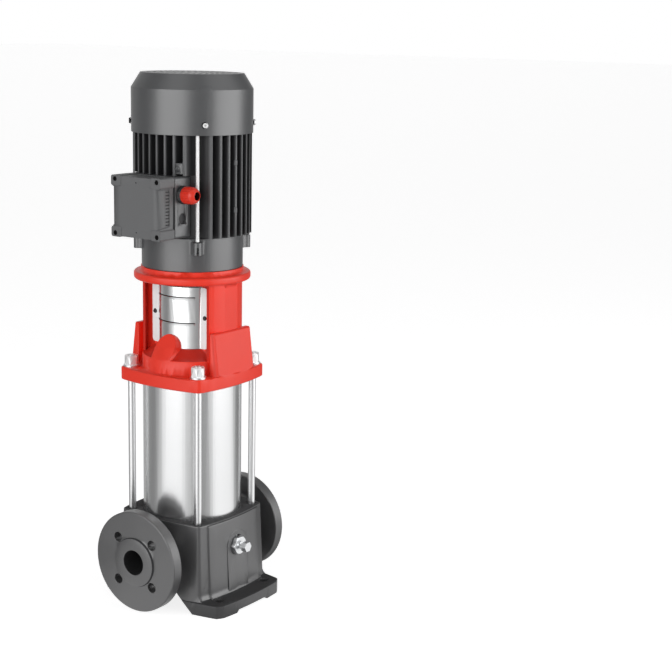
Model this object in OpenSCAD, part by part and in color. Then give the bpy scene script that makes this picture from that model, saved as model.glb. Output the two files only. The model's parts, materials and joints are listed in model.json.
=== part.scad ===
// Vertical multistage in-line water booster pump with a finned motor.
// Suction flange towards -Y, discharge flange towards +Y, shaft along Z,
// origin on the floor under the shaft.

/* [Base casting] */
// Floor to the centre of the two ports
port_h = 75; // [74:1:82]
// Distance between the two flange faces
face_to_face = 250; // [240:1:290]
// Floor to the top face of the base casting
base_h = 125; // [120:1:140]
// Half width of the base body at its corners
base_corner = 69.5; // [69:0.5:72]
// How far the sides of the base body bulge past its corners
base_bulge = 7.5; // [6:0.5:9]
// How much wider each side of the base body is at the foot
base_flare = 4; // [2:0.5:5]
// Radius of the fillet between body and foot
foot_fillet = 13; // [10:1:15]
// Length of the foot across the ports
foot_l = 220; // [215:1:240]
// Width of the foot along the ports, in the middle of its arched ends
foot_w = 161; // [156:1:170]
// Thickness of the foot
foot_t = 18.5; // [17:0.5:24]
// Spacing of the foot holes across the ports
foot_hole_x = 180; // [176:1:188]
// Spacing of the foot holes along the ports
foot_hole_y = 100; // [96:1:110]
// Diameter of the foot holes
foot_hole_d = 13; // [10:0.5:14]

/* [Flanges] */
// Outside diameter of each flange
flange_d = 140; // [130:1:146]
// Thickness of each flange
flange_t = 20; // [16:1:22]
// Diameter of the raised sealing face
raised_d = 67; // [60:1:69]
// Height of the raised sealing face
raised_h = 3; // [1:0.5:3]
// Bolt circle of each flange
flange_pcd = 85; // [85:1:100]
// Diameter of the suction flange's holes
suction_hole_d = 14; // [12:0.2:15]
// Diameter of the discharge flange's holes
discharge_hole_d = 14.6; // [12:0.2:15]
// Bore of the two ports
port_d = 35; // [28:1:38]
// Depth of the machined mouth of the two ports
port_mouth = 40; // [20:1:45]

/* [Sleeve and tie rods] */
// Outside diameter of the stainless sleeve
sleeve_d = 137.4; // [135:0.1:138]
// Wall of the sleeve
sleeve_wall = 1.5; // [1.2:0.1:2]
// Underside of the motor stool above the floor
stool_z = 312; // [310:1:325]
// Depth of the sleeve's seat in the base and in the stool
seat_depth = 6; // [4:0.5:7]
// Distance of each tie rod from the shaft along X and Y
rod_xy = 59.5; // [58.8:0.1:61]
// Diameter of the tie rods
rod_d = 10; // [8:0.5:11]
// Width across flats of the tie rod nuts
nut_af = 17; // [15:0.5:18]
// Height of the tie rod nuts
nut_h = 13; // [9:0.5:14]

/* [Motor stool] */
// Thickness of the square plate of the stool
plate_t = 18; // [16:0.5:20]
// Half width of the plate at its corners
plate_corner = 70.5; // [70.5:0.5:73]
// How far the sides of the plate bulge past its corners
plate_bulge = 9; // [7:0.5:10]
// Height of the apron above the plate
apron_h = 19; // [16:1:22]
// Outside radius of the stool's columns
column_r = 69; // [68.5:0.25:70]
// Wall of the stool's columns
column_wall = 3.5; // [3:0.5:5]
// Half width of each column
column_half = 36; // [34:0.5:37]
// Height of the windows above the plate
window_h = 123.5; // [118:0.5:130]
// Thickness of the round ring that carries the motor
ring_t = 11; // [10:0.5:13]
// Outside radius of that ring
ring_r = 80; // [78:0.5:82]
// Height of the step on the ring
step_h = 6.5; // [5:0.5:8]
// Radius of the hump over the priming port
hump_r = 16.7; // [15:0.1:18]

/* [Coupling and guard] */
// Outside radius of the coupling guard
guard_r = 46; // [44:0.5:47]
// Sheet thickness of the guard
guard_wall = 1; // [0.8:0.1:1.5]
// Half width of each guard over its tabs
guard_half = 49; // [47:0.5:50]
// Lower edge of the guard above the plate
guard_lift = 32; // [28:1:34]
// Room between the guard and the top of the window
guard_room = 7; // [5:0.5:10]
// Outside diameter of the shaft coupling
coupling_d = 54; // [48:1:58]
// Length of the shaft coupling
coupling_l = 72; // [66:1:74]
// Diameter of the pump shaft
pump_shaft_d = 16; // [14:1:18]

/* [Stages] */
// Number of impellers
stage_n = 6; // [4:1:6]
// Height of one stage
stage_h = 24; // [22:0.5:24]
// Outside diameter of the chambers
chamber_d = 112; // [108:1:116]
// Diameter of the impellers
impeller_d = 90; // [80:1:96]

/* [Motor] */
// Outside radius of the round end shield
shield_r = 69.15; // [68:0.05:70]
// Height of the end shield
shield_h = 44.7; // [42:0.1:48]
// Radius over the cooling fins
fin_r = 80.9; // [79:0.1:81]
// Outside radius of the stator frame under the fins
frame_r = 65; // [63:0.5:67]
// Length of the finned stator frame
frame_h = 137.3; // [130:0.1:145]
// Distance from one fin to the next
fin_pitch = 12.3; // [11.8:0.1:12.6]
// Thickness of each fin
fin_t = 2.6; // [2:0.1:3.2]
// Outside radius of the fan cover
cover_r = 82.2; // [82.1:0.1:84]
// Height of the straight wall of the fan cover
cover_h = 58.7; // [56:0.1:62]
// Height of the cone on top of the fan cover
cone_h = 20; // [16:0.5:22]
// Radius of the flat grille on top
grille_r = 69.8; // [66:0.1:72]
// Distance of the motor's tie bolts from the shaft
bolt_r = 75.5; // [75:0.1:76]
// Diameter of the motor's tie bolts
bolt_d = 4.8; // [4:0.1:5]
// Diameter of the motor shaft end
motor_shaft_d = 19; // [16:1:20]
// Length of the motor shaft end
motor_shaft_l = 40; // [36:1:42]

/* [Terminal box] */
// Width of the box over its screw pads
box_w = 85.4; // [82:0.2:88]
// Height of the box
box_h = 81.5; // [80:0.5:84]
// Lower edge of the box above the end shield's foot
box_lift = 47.5; // [46:0.5:50]
// Distance of the front of the lid from the shaft
lid_y = 115; // [112:0.5:118]
// Depth of the lid
lid_depth = 28; // [24:0.5:30]
// Thickness of the gasket under the lid
gasket_t = 1.2; // [1:0.1:2]
// Distance of the cable gland from the shaft along Y
gland_y = 71.8; // [70:0.1:74]
// Height of the gland above the box's lower edge
gland_up = 57.8; // [54:0.1:60]
// Diameter of the gland nut over its ribs
gland_d = 22.6; // [21:0.2:24]
// Cable hole of the gland
gland_hole_d = 11; // [8:0.5:12]

/* [Hidden] */

$fn = 96;
eps = 0.01;
fit = 0.05;
gap = 0.3;

dark_grey = "#3c3d3f";
motor_grey = "#4b4c4e";
signal_red = "#d92b1e";
steel = "#c9cbcd";

// Base casting, drain plug, sleeve
plate_z = stool_z + plate_t;
apron_top = plate_z + apron_h;
ring_z = plate_z + window_h;
step_z = ring_z + ring_t;
motor_z = step_z + step_h;
frame_z = motor_z + shield_h;
frame_top = frame_z + frame_h;
cover_top = frame_top + cover_h + cone_h;
sleeve_r = sleeve_d / 2;
sleeve_in = sleeve_r - sleeve_wall;
flange_back = face_to_face / 2 - flange_t;
arch_h = 26;
arch_half = 63;
drain_z = port_h + 9;
drain_x = base_corner + base_bulge + 4;
plug_af = 24;
spindle_af = 12.5;
port_r = port_d / 2;
well_r = 22;
neck_r = 33;
neck_flare = 12;
fillet_steps = 7;
rod_seat = 22;
panel_half = 55;
panel_step = 2.4;
boss_r = 21.5;
recess_r = 14.5;
recess_depth = 4.5;
plug_thread_r = 10.4;
side_arc = 480;
end_arc = 450;
foot_edge = 1.5;
foot_corner_x = foot_l / 2 - 4.5;
foot_corner_y = foot_w / 2 - 12.5;
foot_trim = sqrt(pow(foot_corner_x, 2) + pow(foot_corner_y, 2)) - 3.5;
pad_in = 34;
pad_rise = 4;
well_back = 36;
cast_extra = 1;
bolt_room = 13;
trough_h = 24;
trough_r = 62;
trough_in = 40;
plug_l = 24;
plug_collar_r = 13;
plug_collar_t = 2;
plug_hex_h = 9;
spindle_r = 4;
spindle_neck_r = 4.8;
spindle_neck_l = 4;
spindle_low = drain_x - 20;
plug_front = drain_x - recess_depth + plug_collar_t + plug_hex_h;
spindle_h = 9;
seal_t = 1.5;

// Tie rods, motor stool, vent, guards and seal
washer_t = 2.5;
washer_d = 22;
rod_low = base_h - rod_seat + 1;
rod_top = plate_z + washer_t + nut_h + 1.5;
land_half = 26;
land_in = 47;
wall_in = column_r - column_wall;
hump_tilt = 34;
hump_top = 50.5;
hump_y = guard_r + 1 + hump_r * sin(hump_tilt);
hump_up = hump_top - hump_r * cos(hump_tilt);
motor_pcd = 115;
spigot_r = 47.5;
spigot_h = 3.5;
seal_bore = 20;
pad_low_x = 77.7;
pad_high_x = 71;
pad_half = 38;
pad_h = 58;
head_recess = 8;
pocket_r = 37;
seal_pcd = 54;
seal_screw_r = 3;
seal_hole = 11;
seal_screw_l = 10;
seat_r = 15;
seat_t = 5;
face_half = 18.5;
face_step = 1.2;
step_r = 70.3;
screw_seat = 4.5;
vent_r = 6;
vent_l = 7.5;
vent_af = 19;
vent_h = 8;
vent_screw_r = 2.5;
guard_h = window_h - guard_lift - guard_room;
guard_z = plate_z + guard_lift;
guard_screw_x = 44.2;
guard_screw_z = guard_z + guard_h / 2 + 0.75;
guard_corner = 5.5;
slot_half = 32.3;
slot_h = 1.3;
lip_h = 3.4;
lip_out = 0.9;
guard_in = sqrt(pow(guard_r - guard_wall, 2) - land_half * land_half) - 0.5;
slot_high = 0.83 * guard_h;
slot_low = 0.41 * guard_h;
guard_screw_l = 10;
guard_screw_r = 1.95;
shaft_r = pump_shaft_d / 2;
seal_cover_t = 6;
seal_cover_r = seal_pcd / 2 + 6;

// Stages, shafts, coupling and bearings
inlet_h = 12;
chamber_r = chamber_d / 2;
chamber_wall = 1.5;
top_h = 16;
stack_z = base_h + inlet_h;
stack_top = stack_z + stage_n * stage_h + top_h;
eye_r = 18.5;
hub_r = 11;
hub_low = 5;
hub_high = 14;
vane_n = 6;
disc_z = 16;
disc_r = chamber_r - 7;
neck_hole = eye_r + 1.5;
seal_l = 30;
seal_low = apron_top - seal_l;
head_low = apron_top - 13;
nose_low = apron_top - 8;
spring_r = 13;
strap_half = 9;
shaft_low = base_h + 3;
shaft_top = motor_z - motor_shaft_l - 3;
vane_x = 18;
vane_r = 28;
coupling_z = motor_z - coupling_l - 9;
coupling_r = coupling_d / 2;
clamp_y = 18;
clamp_r = 4;
clamp_head_r = 6;
clamp_z = [13, coupling_l - 13];
pin_r = 2.5;
split = 0.5;
clamp_seat = 12;
pin_l = 26;
bearing_in = 10;
bearing_out = 23.5;
bearing_t = 14;
ball_r = 3.97;
ball_mid = (bearing_in + bearing_out) / 2;
ball_n = 8;
race = 3.4;
bearing_low = motor_z + 7;
bearing_high = frame_top + 2;
core_low = frame_z + 26;
core_l = 78;
core_in = 38;
core_out = 61;
air_gap = 0.5;
shaft_end = motor_z - motor_shaft_l;
fan_z = bearing_high + bearing_t + 8;
fan_h = 24;
fan_r = 66;
key_w = 5;
core_shaft_r = 13;
fan_seat_r = 8;
key_end = 4;
key_sunk = 3;
key_h = 5.5;
key_l = 28;
blade_n = 8;

// Motor
lug_low = shield_h - 20.5;
lug_h = 16.7;
lug_r = 6;
shield_wall = 8;
shield_floor = 9;
head_h = 8;
fin_xs = [for (i = [-3.5:1:3.5]) i * fin_pitch];
box_z = motor_z + box_lift;
box_mid = box_z + box_h / 2;
box_back = 56;
box_front = lid_y - lid_depth - gasket_t;
box_space_x = box_w / 2 + 2.4;
fin_start = 1.8;
nub_r = 2.6;
nub_h = 9;
nub_z = [34.8, 97.8];
slot_n = 24;
rear_wall = 7;
cover_wall = 1.2;
lug_top = 18;
lug_half = 13;
cap_z = 13.5;
cap_side = 9.1;
cap_screw_r = 1.95;
cap_screw_l = 9;
cap_head_r = 4.4;
cap_head_h = 2.4;
grille_rings = [17, 25.5, 34, 42.5, 51, 59.5];
grille_hole_r = 2.3;

// Terminal box
box_r = 4;
box_wall = 4;
pad_w = 17;
pad_l = 14;
pad_out = 2.2;
screw_x = 36;
screw_z = 35.6;
gland_z = box_z + gland_up;
gland_r = gland_d / 2;
blank_y = 70.3;
blank_z = box_z + 26.1;
blank_r = 7.2;
entry_r = 8;
cavity_back = frame_r + 5;
panel_low = 17;
panel_depth = 0.8;
panel_side = 4.8;
lid_back = lid_y - lid_depth;
pad_rise_front = 1;
rib_n = 11;
dot_z = 32.5;
dot_r = 0.9;
grip_len = 21;
rib_l = 8;
grip_low = 15;
grip_high = 15;
grip_depth = 1.8;
stud_r = 2.2;
stud_x = 14;
stud_z = 8;
stud_l = 16;
block_w = 48;
block_h = 30;
block_t = 8;
gland_bore = gland_hole_d / 2;
collar_w = 5.3;
stem_l = box_wall + 5;
thread_r = gland_r - 2.6;
thread_l = 9;
nut_l = 20.4;
nut_rib_n = 18;
earth_x = 2.5 * fin_pitch + fin_t / 2 + fit;
earth_w = fin_pitch - fin_t - 2 * fit;
earth_z = box_z + box_h + 3;
earth_h = 14;
earth_y = 73;

// Revolved profile for one side of a body with arched sides: a foot fillet
// or a lower chamfer, a straight flank and a chamfer on top.
function flank(r, flare, z0, z1, fillet, low, edge) = concat(
  [[0, z0]],
  fillet > 0
    ? [for (i = [0:fillet_steps]) let (a = 90 * i / fillet_steps)
        [r + flare + fillet * (1 - sin(a)), z0 + fillet * (1 - cos(a))]]
    : [[r + flare - low, z0], [r + flare, z0 + low]],
  [[r, z1 - edge], [r - edge, z1], [0, z1]]
);

// Body whose plan is a square with four arched sides and trimmed corners.
// The fillet runs along the two sides that face X and round the corners.
module arched_body(corner, bulge, z0, z1, flare = 0, fillet = 0, low = 0, edge = 1) {
  mid = corner + bulge;
  c = (2 * corner * corner - mid * mid) / (2 * bulge);
  trim = sqrt(2) * corner - 1.7;
  intersection() {
    arched_side(c, 0, flank(mid + c, flare, z0, z1, fillet, low, edge));
    arched_side(c, 90, flank(mid + c, flare, z0, z1, 0, low, edge));
    arched_side(c, 180, flank(mid + c, flare, z0, z1, fillet, low, edge));
    arched_side(c, 270, flank(mid + c, flare, z0, z1, 0, low, edge));
    rotate_extrude($fn = 120) polygon(flank(trim, flare, z0, z1, fillet, low, edge));
  }
}

module arched_side(c, turn, profile) {
  rotate(turn) translate([-c, 0, 0]) rotate_extrude($fn = 360) polygon(profile);
}

// Copies at the four corners of a square or rectangle.
module corners(x, y) {
  for (sx = [-1, 1])
    for (sy = [-1, 1])
      translate([sx * x, sy * y, 0]) children();
}

// Copies on a circle, starting 45 degrees off the X axis.
module diagonals(r) {
  for (a = [45:90:315])
    rotate(a) translate([r, 0, 0]) children();
}

module ring(outer, inner, h, $fn = 96) {
  difference() {
    cylinder(r = outer, h = h);
    translate([0, 0, -eps]) cylinder(r = inner, h = h + 2 * eps);
  }
}

module hexagon(af, h) {
  cylinder(d = af / cos(30), h = h, $fn = 6);
}

// Hexagon head with a chamfered outer end.
module hex_head(af, h) {
  intersection() {
    hexagon(af, h);
    cylinder(r1 = af / 2 + h, r2 = af / 2, h = h);
  }
}

module base_casting() {
  color(dark_grey) difference() {
    union() {
      arched_body(base_corner, base_bulge, foot_t - 3, base_h, base_flare, foot_fillet);
      side_panels();
      drain_boss();
      foot();
      port_neck(0);
      port_neck(180);
    }
    translate([0, 0, base_h - seat_depth])
      ring(sleeve_r + 0.4, sleeve_in - 0.4, seat_depth + 1);
    water_ways();
    foot_cuts();
    drain_cuts();
    corners(rod_xy, rod_xy)
      translate([0, 0, base_h - rod_seat]) cylinder(d = rod_d + 2 * fit, h = rod_seat + 1);
  }
}

// Raised middle of each side face, which leaves a post at every corner.
module side_panels() {
  intersection() {
    arched_body(base_corner + panel_step, base_bulge, foot_t - 3, base_h - 1.5, base_flare, foot_fillet);
    translate([-foot_l / 2, -panel_half, 0]) cube([foot_l, 2 * panel_half, base_h]);
  }
}

module drain_boss() {
  translate([0, 0, drain_z]) rotate([0, 90, 0]) cylinder(r = boss_r, h = drain_x);
  translate([0, boss_r, 0]) rotate([90, 0, 0]) linear_extrude(2 * boss_r)
    polygon([[0, foot_t - 2], [drain_x + base_flare, foot_t - 2], [drain_x, drain_z], [0, drain_z]]);
}

module drain_cuts() {
  translate([drain_x - recess_depth, 0, drain_z]) rotate([0, 90, 0])
    cylinder(r = recess_r, h = recess_depth + 1);
  translate([drain_x - plug_l - 2, 0, drain_z]) rotate([0, 90, 0])
    cylinder(r = plug_thread_r + fit, h = plug_l + 3);
}

// Foot plate with four slightly arched sides and trimmed corners.
module foot() {
  intersection() {
    arched_side(side_arc - foot_l / 2, 0, slab_edge(side_arc, foot_t, foot_edge));
    arched_side(end_arc - foot_w / 2, 90, slab_edge(end_arc, foot_t, foot_edge));
    arched_side(side_arc - foot_l / 2, 180, slab_edge(side_arc, foot_t, foot_edge));
    arched_side(end_arc - foot_w / 2, 270, slab_edge(end_arc, foot_t, foot_edge));
    rotate_extrude($fn = 120) polygon(slab_edge(foot_trim, foot_t, foot_edge));
  }
}

// Half section of a plate of radius r and height h with a chamfer on top.
function slab_edge(r, h, edge) = [[0, 0], [r, 0], [r, h - edge], [r - edge, h], [0, h]];

// Rounded rectangle made of two bars and four corner discs.
module corner_trim(hx, hy, r, h) {
  translate([-hx, -hy + r, 0]) cube([2 * hx, 2 * (hy - r), h]);
  translate([-hx + r, -hy, 0]) cube([2 * (hx - r), 2 * hy, h]);
  corners(hx - r, hy - r) cylinder(r = r, h = h);
}

module foot_cuts() {
  corners(foot_hole_x / 2, foot_hole_y / 2)
    translate([0, 0, -1]) cylinder(d = foot_hole_d, h = foot_t + 2);
  rotate([90, 0, 0]) linear_extrude(2 * flange_back - 4, center = true)
    polygon([[-arch_half - 1, -1], [-arch_half + arch_h, arch_h], [arch_half - arch_h, arch_h],
             [arch_half + 1, -1]]);
  rotate([90, 0, 90]) linear_extrude(2 * foot_l, center = true)
    polygon([[-pad_in - 1, -1], [-pad_in + pad_rise, pad_rise], [pad_in - pad_rise, pad_rise],
             [pad_in + 1, -1]]);
}

// Flange, raised face and neck of one port, towards -Y when turn is 0.
module port_neck(turn) {
  rotate(turn) translate([0, 0, port_h]) rotate([90, 0, 0]) {
    cylinder(r = neck_r, h = flange_back + 1);
    translate([0, 0, flange_back - neck_flare])
      cylinder(r1 = neck_r, r2 = neck_r + neck_flare, h = neck_flare + eps);
    translate([0, 0, flange_back]) rotate_extrude($fn = 144)
      polygon([[0, 0], [flange_d / 2 - 1.5, 0], [flange_d / 2, 1.5],
               [flange_d / 2, flange_t - raised_h - 1.5], [flange_d / 2 - 1.5, flange_t - raised_h],
               [raised_d / 2 + 1, flange_t - raised_h], [raised_d / 2, flange_t], [0, flange_t]]);
  }
}

module water_ways() {
  port_way(0, 0, suction_hole_d);
  port_way(180, well_back, discharge_hole_d);
  translate([0, 0, port_h]) cylinder(r = well_r, h = base_h);
  translate([0, 0, base_h - trough_h]) ring(trough_r, trough_in, trough_h + 1);
  translate([0, well_back + port_r, port_h]) cylinder(r = port_r, h = base_h - port_h - trough_h + 1);
}

// Cast passage from depth low, machined mouth and bolt holes of one port.
module port_way(turn, low, hole_d) {
  mouth_z = face_to_face / 2 - port_mouth;
  rotate(turn) translate([0, 0, port_h]) rotate([90, 0, 0]) {
    translate([0, 0, low]) cylinder(r = port_r + cast_extra, h = mouth_z - low);
    translate([0, 0, mouth_z - eps]) cylinder(r = port_r, h = port_mouth + 1);
    diagonals(flange_pcd / 2)
      translate([0, 0, flange_back - bolt_room]) cylinder(d = hole_d, h = flange_t + bolt_room + 1);
  }
}

module drain_plug() {
  seat = plug_l - recess_depth;
  color(steel) difference() {
    translate([drain_x - plug_l, 0, drain_z]) rotate([0, 90, 0]) {
      cylinder(r = plug_thread_r, h = seat + eps);
      translate([0, 0, seat]) cylinder(r = plug_collar_r, h = plug_collar_t);
      translate([0, 0, seat + plug_collar_t]) rotate(30) hex_head(plug_af, plug_hex_h);
    }
    translate([drain_x - plug_l - 1, 0, drain_z]) rotate([0, 90, 0])
      cylinder(r = spindle_r + fit, h = plug_l + plug_collar_t + plug_hex_h + 2);
  }
}

module bypass_spindle() {
  stem = plug_front - spindle_low;
  color(steel) translate([spindle_low, 0, drain_z]) rotate([0, 90, 0]) {
    cylinder(r = spindle_r, h = stem + 3);
    translate([0, 0, stem + gap]) {
      cylinder(r = spindle_neck_r, h = spindle_neck_l);
      translate([0, 0, spindle_neck_l]) rotate(30) hexagon(spindle_af, spindle_h);
    }
  }
}

module outer_sleeve() {
  color(steel) translate([0, 0, base_h - seat_depth + seal_t])
    ring(sleeve_r, sleeve_in, stool_z - base_h + 2 * seat_depth - 2 * seal_t, $fn = 180);
}

// Flat gaskets that seal the sleeve at the bottom of its two seats.
module sleeve_seals() {
  color("#1c1c1c")
    for (z = [base_h - seat_depth, stool_z + seat_depth - seal_t])
      translate([0, 0, z]) ring(sleeve_r + gap, sleeve_in - gap, seal_t);
}

module tie_rods() {
  color(steel) corners(rod_xy, rod_xy)
    translate([0, 0, rod_low]) union() {
      cylinder(d = rod_d, h = rod_top - rod_low - 1);
      translate([0, 0, rod_top - rod_low - 1]) cylinder(d1 = rod_d, d2 = rod_d - 2, h = 1);
    }
}

module tie_rod_washers() {
  color(steel) corners(rod_xy, rod_xy)
    translate([0, 0, plate_z]) ring(washer_d / 2, rod_d / 2 + gap, washer_t);
}

// Hexagon nuts with a chamfered top and a bore for the rod.
module tie_rod_nuts() {
  color(steel) corners(rod_xy, rod_xy)
    translate([0, 0, plate_z + washer_t]) difference() {
      hex_head(nut_af, nut_h);
      translate([0, 0, -1]) cylinder(r = rod_d / 2 + fit, h = nut_h + 2);
    }
}

module motor_stool() {
  color(signal_red) difference() {
    union() {
      arched_body(plate_corner, plate_bulge, stool_z, plate_z, low = 1.5, edge = 1.5);
      translate([0, 0, plate_z - 1]) drum(column_r, apron_h + 1, 1.2);
      translate([0, 0, apron_top - eps]) seal_housing();
      columns();
      gusset_pads();
      hump(0);
      hump(180);
      motor_ring();
    }
    translate([0, 0, stool_z - 1]) cylinder(r = seal_bore, h = plate_t + apron_h + 2);
    translate([0, 0, apron_top]) cylinder(r = pocket_r, h = guard_lift);
    translate([0, 0, stool_z - 1]) cylinder(r = trough_r, h = head_recess + 1);
    translate([0, 0, stool_z - 1])
      ring(sleeve_r + 0.4, sleeve_in - 0.4, seat_depth + 1);
    corners(rod_xy, rod_xy)
      translate([0, 0, stool_z - 1]) cylinder(r = rod_d / 2 + gap, h = plate_t + 2);
    vent_hole();
    guard_holes();
    motor_screw_holes();
    diagonals(seal_pcd / 2)
      translate([0, 0, apron_top - seal_hole]) cylinder(r = seal_screw_r + fit, h = seal_hole + 1);
  }
}

// Sloping collar round the seal pocket, up to the lower edge of the guards.
module seal_housing() {
  cylinder(r1 = wall_in - 1, r2 = guard_r + 1.5, h = guard_lift - apron_h - gap);
}

// Solid of revolution with a small chamfer on its upper edge.
module drum(r, h, edge) {
  rotate_extrude($fn = 144)
    polygon([[0, 0], [r, 0], [r, h - edge], [r - edge, h], [0, h]]);
}

module columns() {
  difference() {
    union() {
      intersection() {
        translate([0, 0, apron_top - 1]) ring(column_r, wall_in, ring_z - apron_top + 2);
        slab(column_half);
      }
      intersection() {
        translate([0, 0, apron_top - 1]) ring(wall_in + 0.5, land_in, ring_z - apron_top + 2);
        slab(land_half);
      }
    }
    for (turn = [0, 180])
      rotate(turn) translate([column_r - face_step, -face_half, apron_top + 8])
        cube([10, 2 * face_half, window_h - apron_h - 14]);
  }
}

module slab(half) {
  translate([-ring_r, -half, apron_top - 2]) cube([2 * ring_r, 2 * half, ring_z - apron_top + 4]);
}

// Sloping pads at the foot of the two columns.
module gusset_pads() {
  for (turn = [0, 180])
    rotate(turn) rotate([90, 0, 0]) {
      linear_extrude(2 * pad_half, center = true)
        polygon([[wall_in - 2, plate_z - 1], [pad_low_x, plate_z - 1], [pad_low_x, plate_z + 2],
                 [pad_high_x, plate_z + pad_h - 2], [pad_high_x - 1.5, plate_z + pad_h],
                 [wall_in - 2, plate_z + pad_h]]);
      linear_extrude(2 * pad_half + 4, center = true)
        polygon([[wall_in - 2, plate_z - 1], [pad_low_x - 5, plate_z - 1],
                 [pad_high_x - 4.5, plate_z + pad_h - 1], [wall_in - 2, plate_z + pad_h - 1]]);
    }
}

// Arched hump over a priming port, with a flat face tilted upwards.
module hump(turn) {
  arch_z = plate_z + hump_top - hump_r;
  rotate(turn) difference() {
    intersection() {
      union() {
        translate([0, 0, arch_z]) rotate([90, 0, 0]) cylinder(r = hump_r, h = ring_r);
        translate([-hump_r, -ring_r, plate_z]) cube([2 * hump_r, ring_r, arch_z - plate_z]);
      }
      translate([0, 0, plate_z]) cylinder(r = column_r - 0.2, h = hump_top + 1);
    }
    translate([0, -hump_y, plate_z + hump_up]) rotate([-hump_tilt, 0, 0])
      translate([-2 * hump_r, -ring_r, -ring_r]) cube([4 * hump_r, ring_r, 2 * ring_r]);
    translate([0, 0, apron_top]) cylinder(r = guard_r + 0.6, h = window_h);
  }
}

module motor_ring() {
  edge = 3.5;
  difference() {
    translate([0, 0, ring_z]) rotate_extrude($fn = 180)
      polygon(concat(
        [[0, 0]], round_edge(ring_r, 0, edge, -90), round_edge(ring_r, ring_t, edge, 0),
        [[step_r, ring_t], [step_r, ring_t + step_h], [0, ring_t + step_h]]));
    translate([0, 0, ring_z - 1]) cylinder(r = land_in - 3, h = ring_t + step_h + 2);
    translate([0, 0, motor_z - spigot_h - 0.5]) cylinder(r = spigot_r + fit, h = spigot_h + 1);
  }
}

// Points of a quarter round on the outer edge at radius r and height z.
function round_edge(r, z, e, a0) =
  [for (i = [0:4]) let (a = a0 + 22.5 * i)
    [r - e + e * cos(a), (a0 < 0 ? z + e : z - e) + e * sin(a)]];

module motor_screw_holes() {
  diagonals(motor_pcd / 2) {
    translate([0, 0, ring_z - 1]) cylinder(r = 4.5, h = ring_t + step_h + 2);
    translate([0, 0, ring_z - 1]) cylinder(r = 7.3, h = 1 + screw_seat);
  }
}

module at_vent() {
  rotate(180) translate([0, -hump_y, plate_z + hump_up]) rotate([90 - hump_tilt, 0, 0]) children();
}

module vent_hole() {
  at_vent() translate([0, 0, -vent_l - 0.5]) cylinder(r = vent_r + fit, h = vent_l + 10);
}

module vent_plug() {
  color(steel) at_vent() difference() {
    union() {
      translate([0, 0, -vent_l]) cylinder(r = vent_r, h = vent_l + eps);
      cylinder(r = vent_af / 2 + 1.5, h = 1.5);
      translate([0, 0, 1.5 - eps]) hexagon(vent_af, vent_h - 1.5);
    }
    translate([0, 0, -vent_l - 1]) cylinder(r = vent_screw_r + fit, h = vent_l + vent_h + 2);
  }
}

module vent_screw() {
  color(steel) at_vent() difference() {
    union() {
      translate([0, 0, -vent_l + 2]) cylinder(r = vent_screw_r, h = vent_l + vent_h - 2 + 2);
      translate([0, 0, vent_h + gap]) cylinder(r = 5, h = 5);
    }
    translate([-6, -0.6, vent_h + gap + 3.5]) cube([12, 1.2, 2]);
  }
}

// Rolled sheet guard with a flat tab along each side, towards -Y.
module guard() {
  guard_sheet();
  for (z = [slot_high, slot_low])
    slot_lip(guard_z + z);
}

// Pressed lip under a slot, which runs out into the sheet below.
module slot_lip(z) {
  intersection() {
    translate([0, 0, z - lip_h]) rotate_extrude($fn = 144)
      polygon([[guard_r - guard_wall / 2, 0], [guard_r - eps, 0], [guard_r + lip_out, lip_h],
               [guard_r - guard_wall / 2, lip_h]]);
    translate([-slot_half, -2 * guard_r, z - lip_h - 1]) cube([2 * slot_half, 2 * guard_r, lip_h + 2]);
  }
}

module guard_sheet() {
  difference() {
    intersection() {
      union() {
        intersection() {
          translate([0, 0, guard_z]) ring(guard_r, guard_r - guard_wall, guard_h);
          translate([-guard_r, -guard_r - 1, guard_z - 1])
            cube([2 * guard_r, guard_r + 1 - land_half, guard_h + 2]);
        }
        for (side = [-1, 1])
          translate([side > 0 ? guard_in : -guard_half, -land_half - guard_wall, guard_z])
            cube([guard_half - guard_in, guard_wall, guard_h]);
      }
      translate([0, 0, guard_z + guard_h / 2]) rotate([90, 0, 0])
        corner_trim(guard_half, guard_h / 2, guard_corner, guard_r + 1);
    }
    for (z = [slot_high, slot_low])
      translate([-slot_half, -guard_r - 1, guard_z + z])
        cube([2 * slot_half, guard_r - land_half, slot_h]);
    for (side = [-1, 1])
      translate([side * guard_screw_x, 0, guard_screw_z]) rotate([90, 0, 0])
        cylinder(r = 2.2, h = guard_r);
  }
}

module guard_front() {
  color(steel) guard();
}

module guard_rear() {
  color(steel) rotate(180) guard();
}

module guard_screws() {
  color("#2a2a2c")
    for (turn = [0, 180])
      for (side = [-1, 1])
        rotate(turn) translate([side * guard_screw_x, -land_half - guard_wall, guard_screw_z])
          rotate([90, 0, 0]) {
            translate([0, 0, -guard_screw_l]) cylinder(r = guard_screw_r, h = guard_screw_l + eps);
            cylinder(r1 = 3.3, r2 = 2.4, h = 1.4);
          }
}

module guard_holes() {
  for (turn = [0, 180])
    for (side = [-1, 1])
      rotate(turn) translate([side * guard_screw_x, -land_half - 1, guard_screw_z])
        rotate([-90, 0, 0]) cylinder(r = guard_screw_r + fit, h = guard_screw_l + 2);
}

module seal_cover() {
  color("#3c3d3f") translate([0, 0, apron_top]) difference() {
    union() {
      drum(seal_cover_r, seal_cover_t, 1);
      translate([0, 0, -seat_t]) cylinder(r = seal_bore - fit, h = seat_t + eps);
    }
    translate([0, 0, -seat_t - 1]) cylinder(r = shaft_r + 2, h = seat_t + seal_cover_t + 2);
    translate([0, 0, -seat_t - 1]) cylinder(r = seat_r + fit, h = seat_t + 1);
    diagonals(seal_pcd / 2) translate([0, 0, -1]) cylinder(r = seal_screw_r + 0.2, h = seal_cover_t + 2);
  }
}

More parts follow.
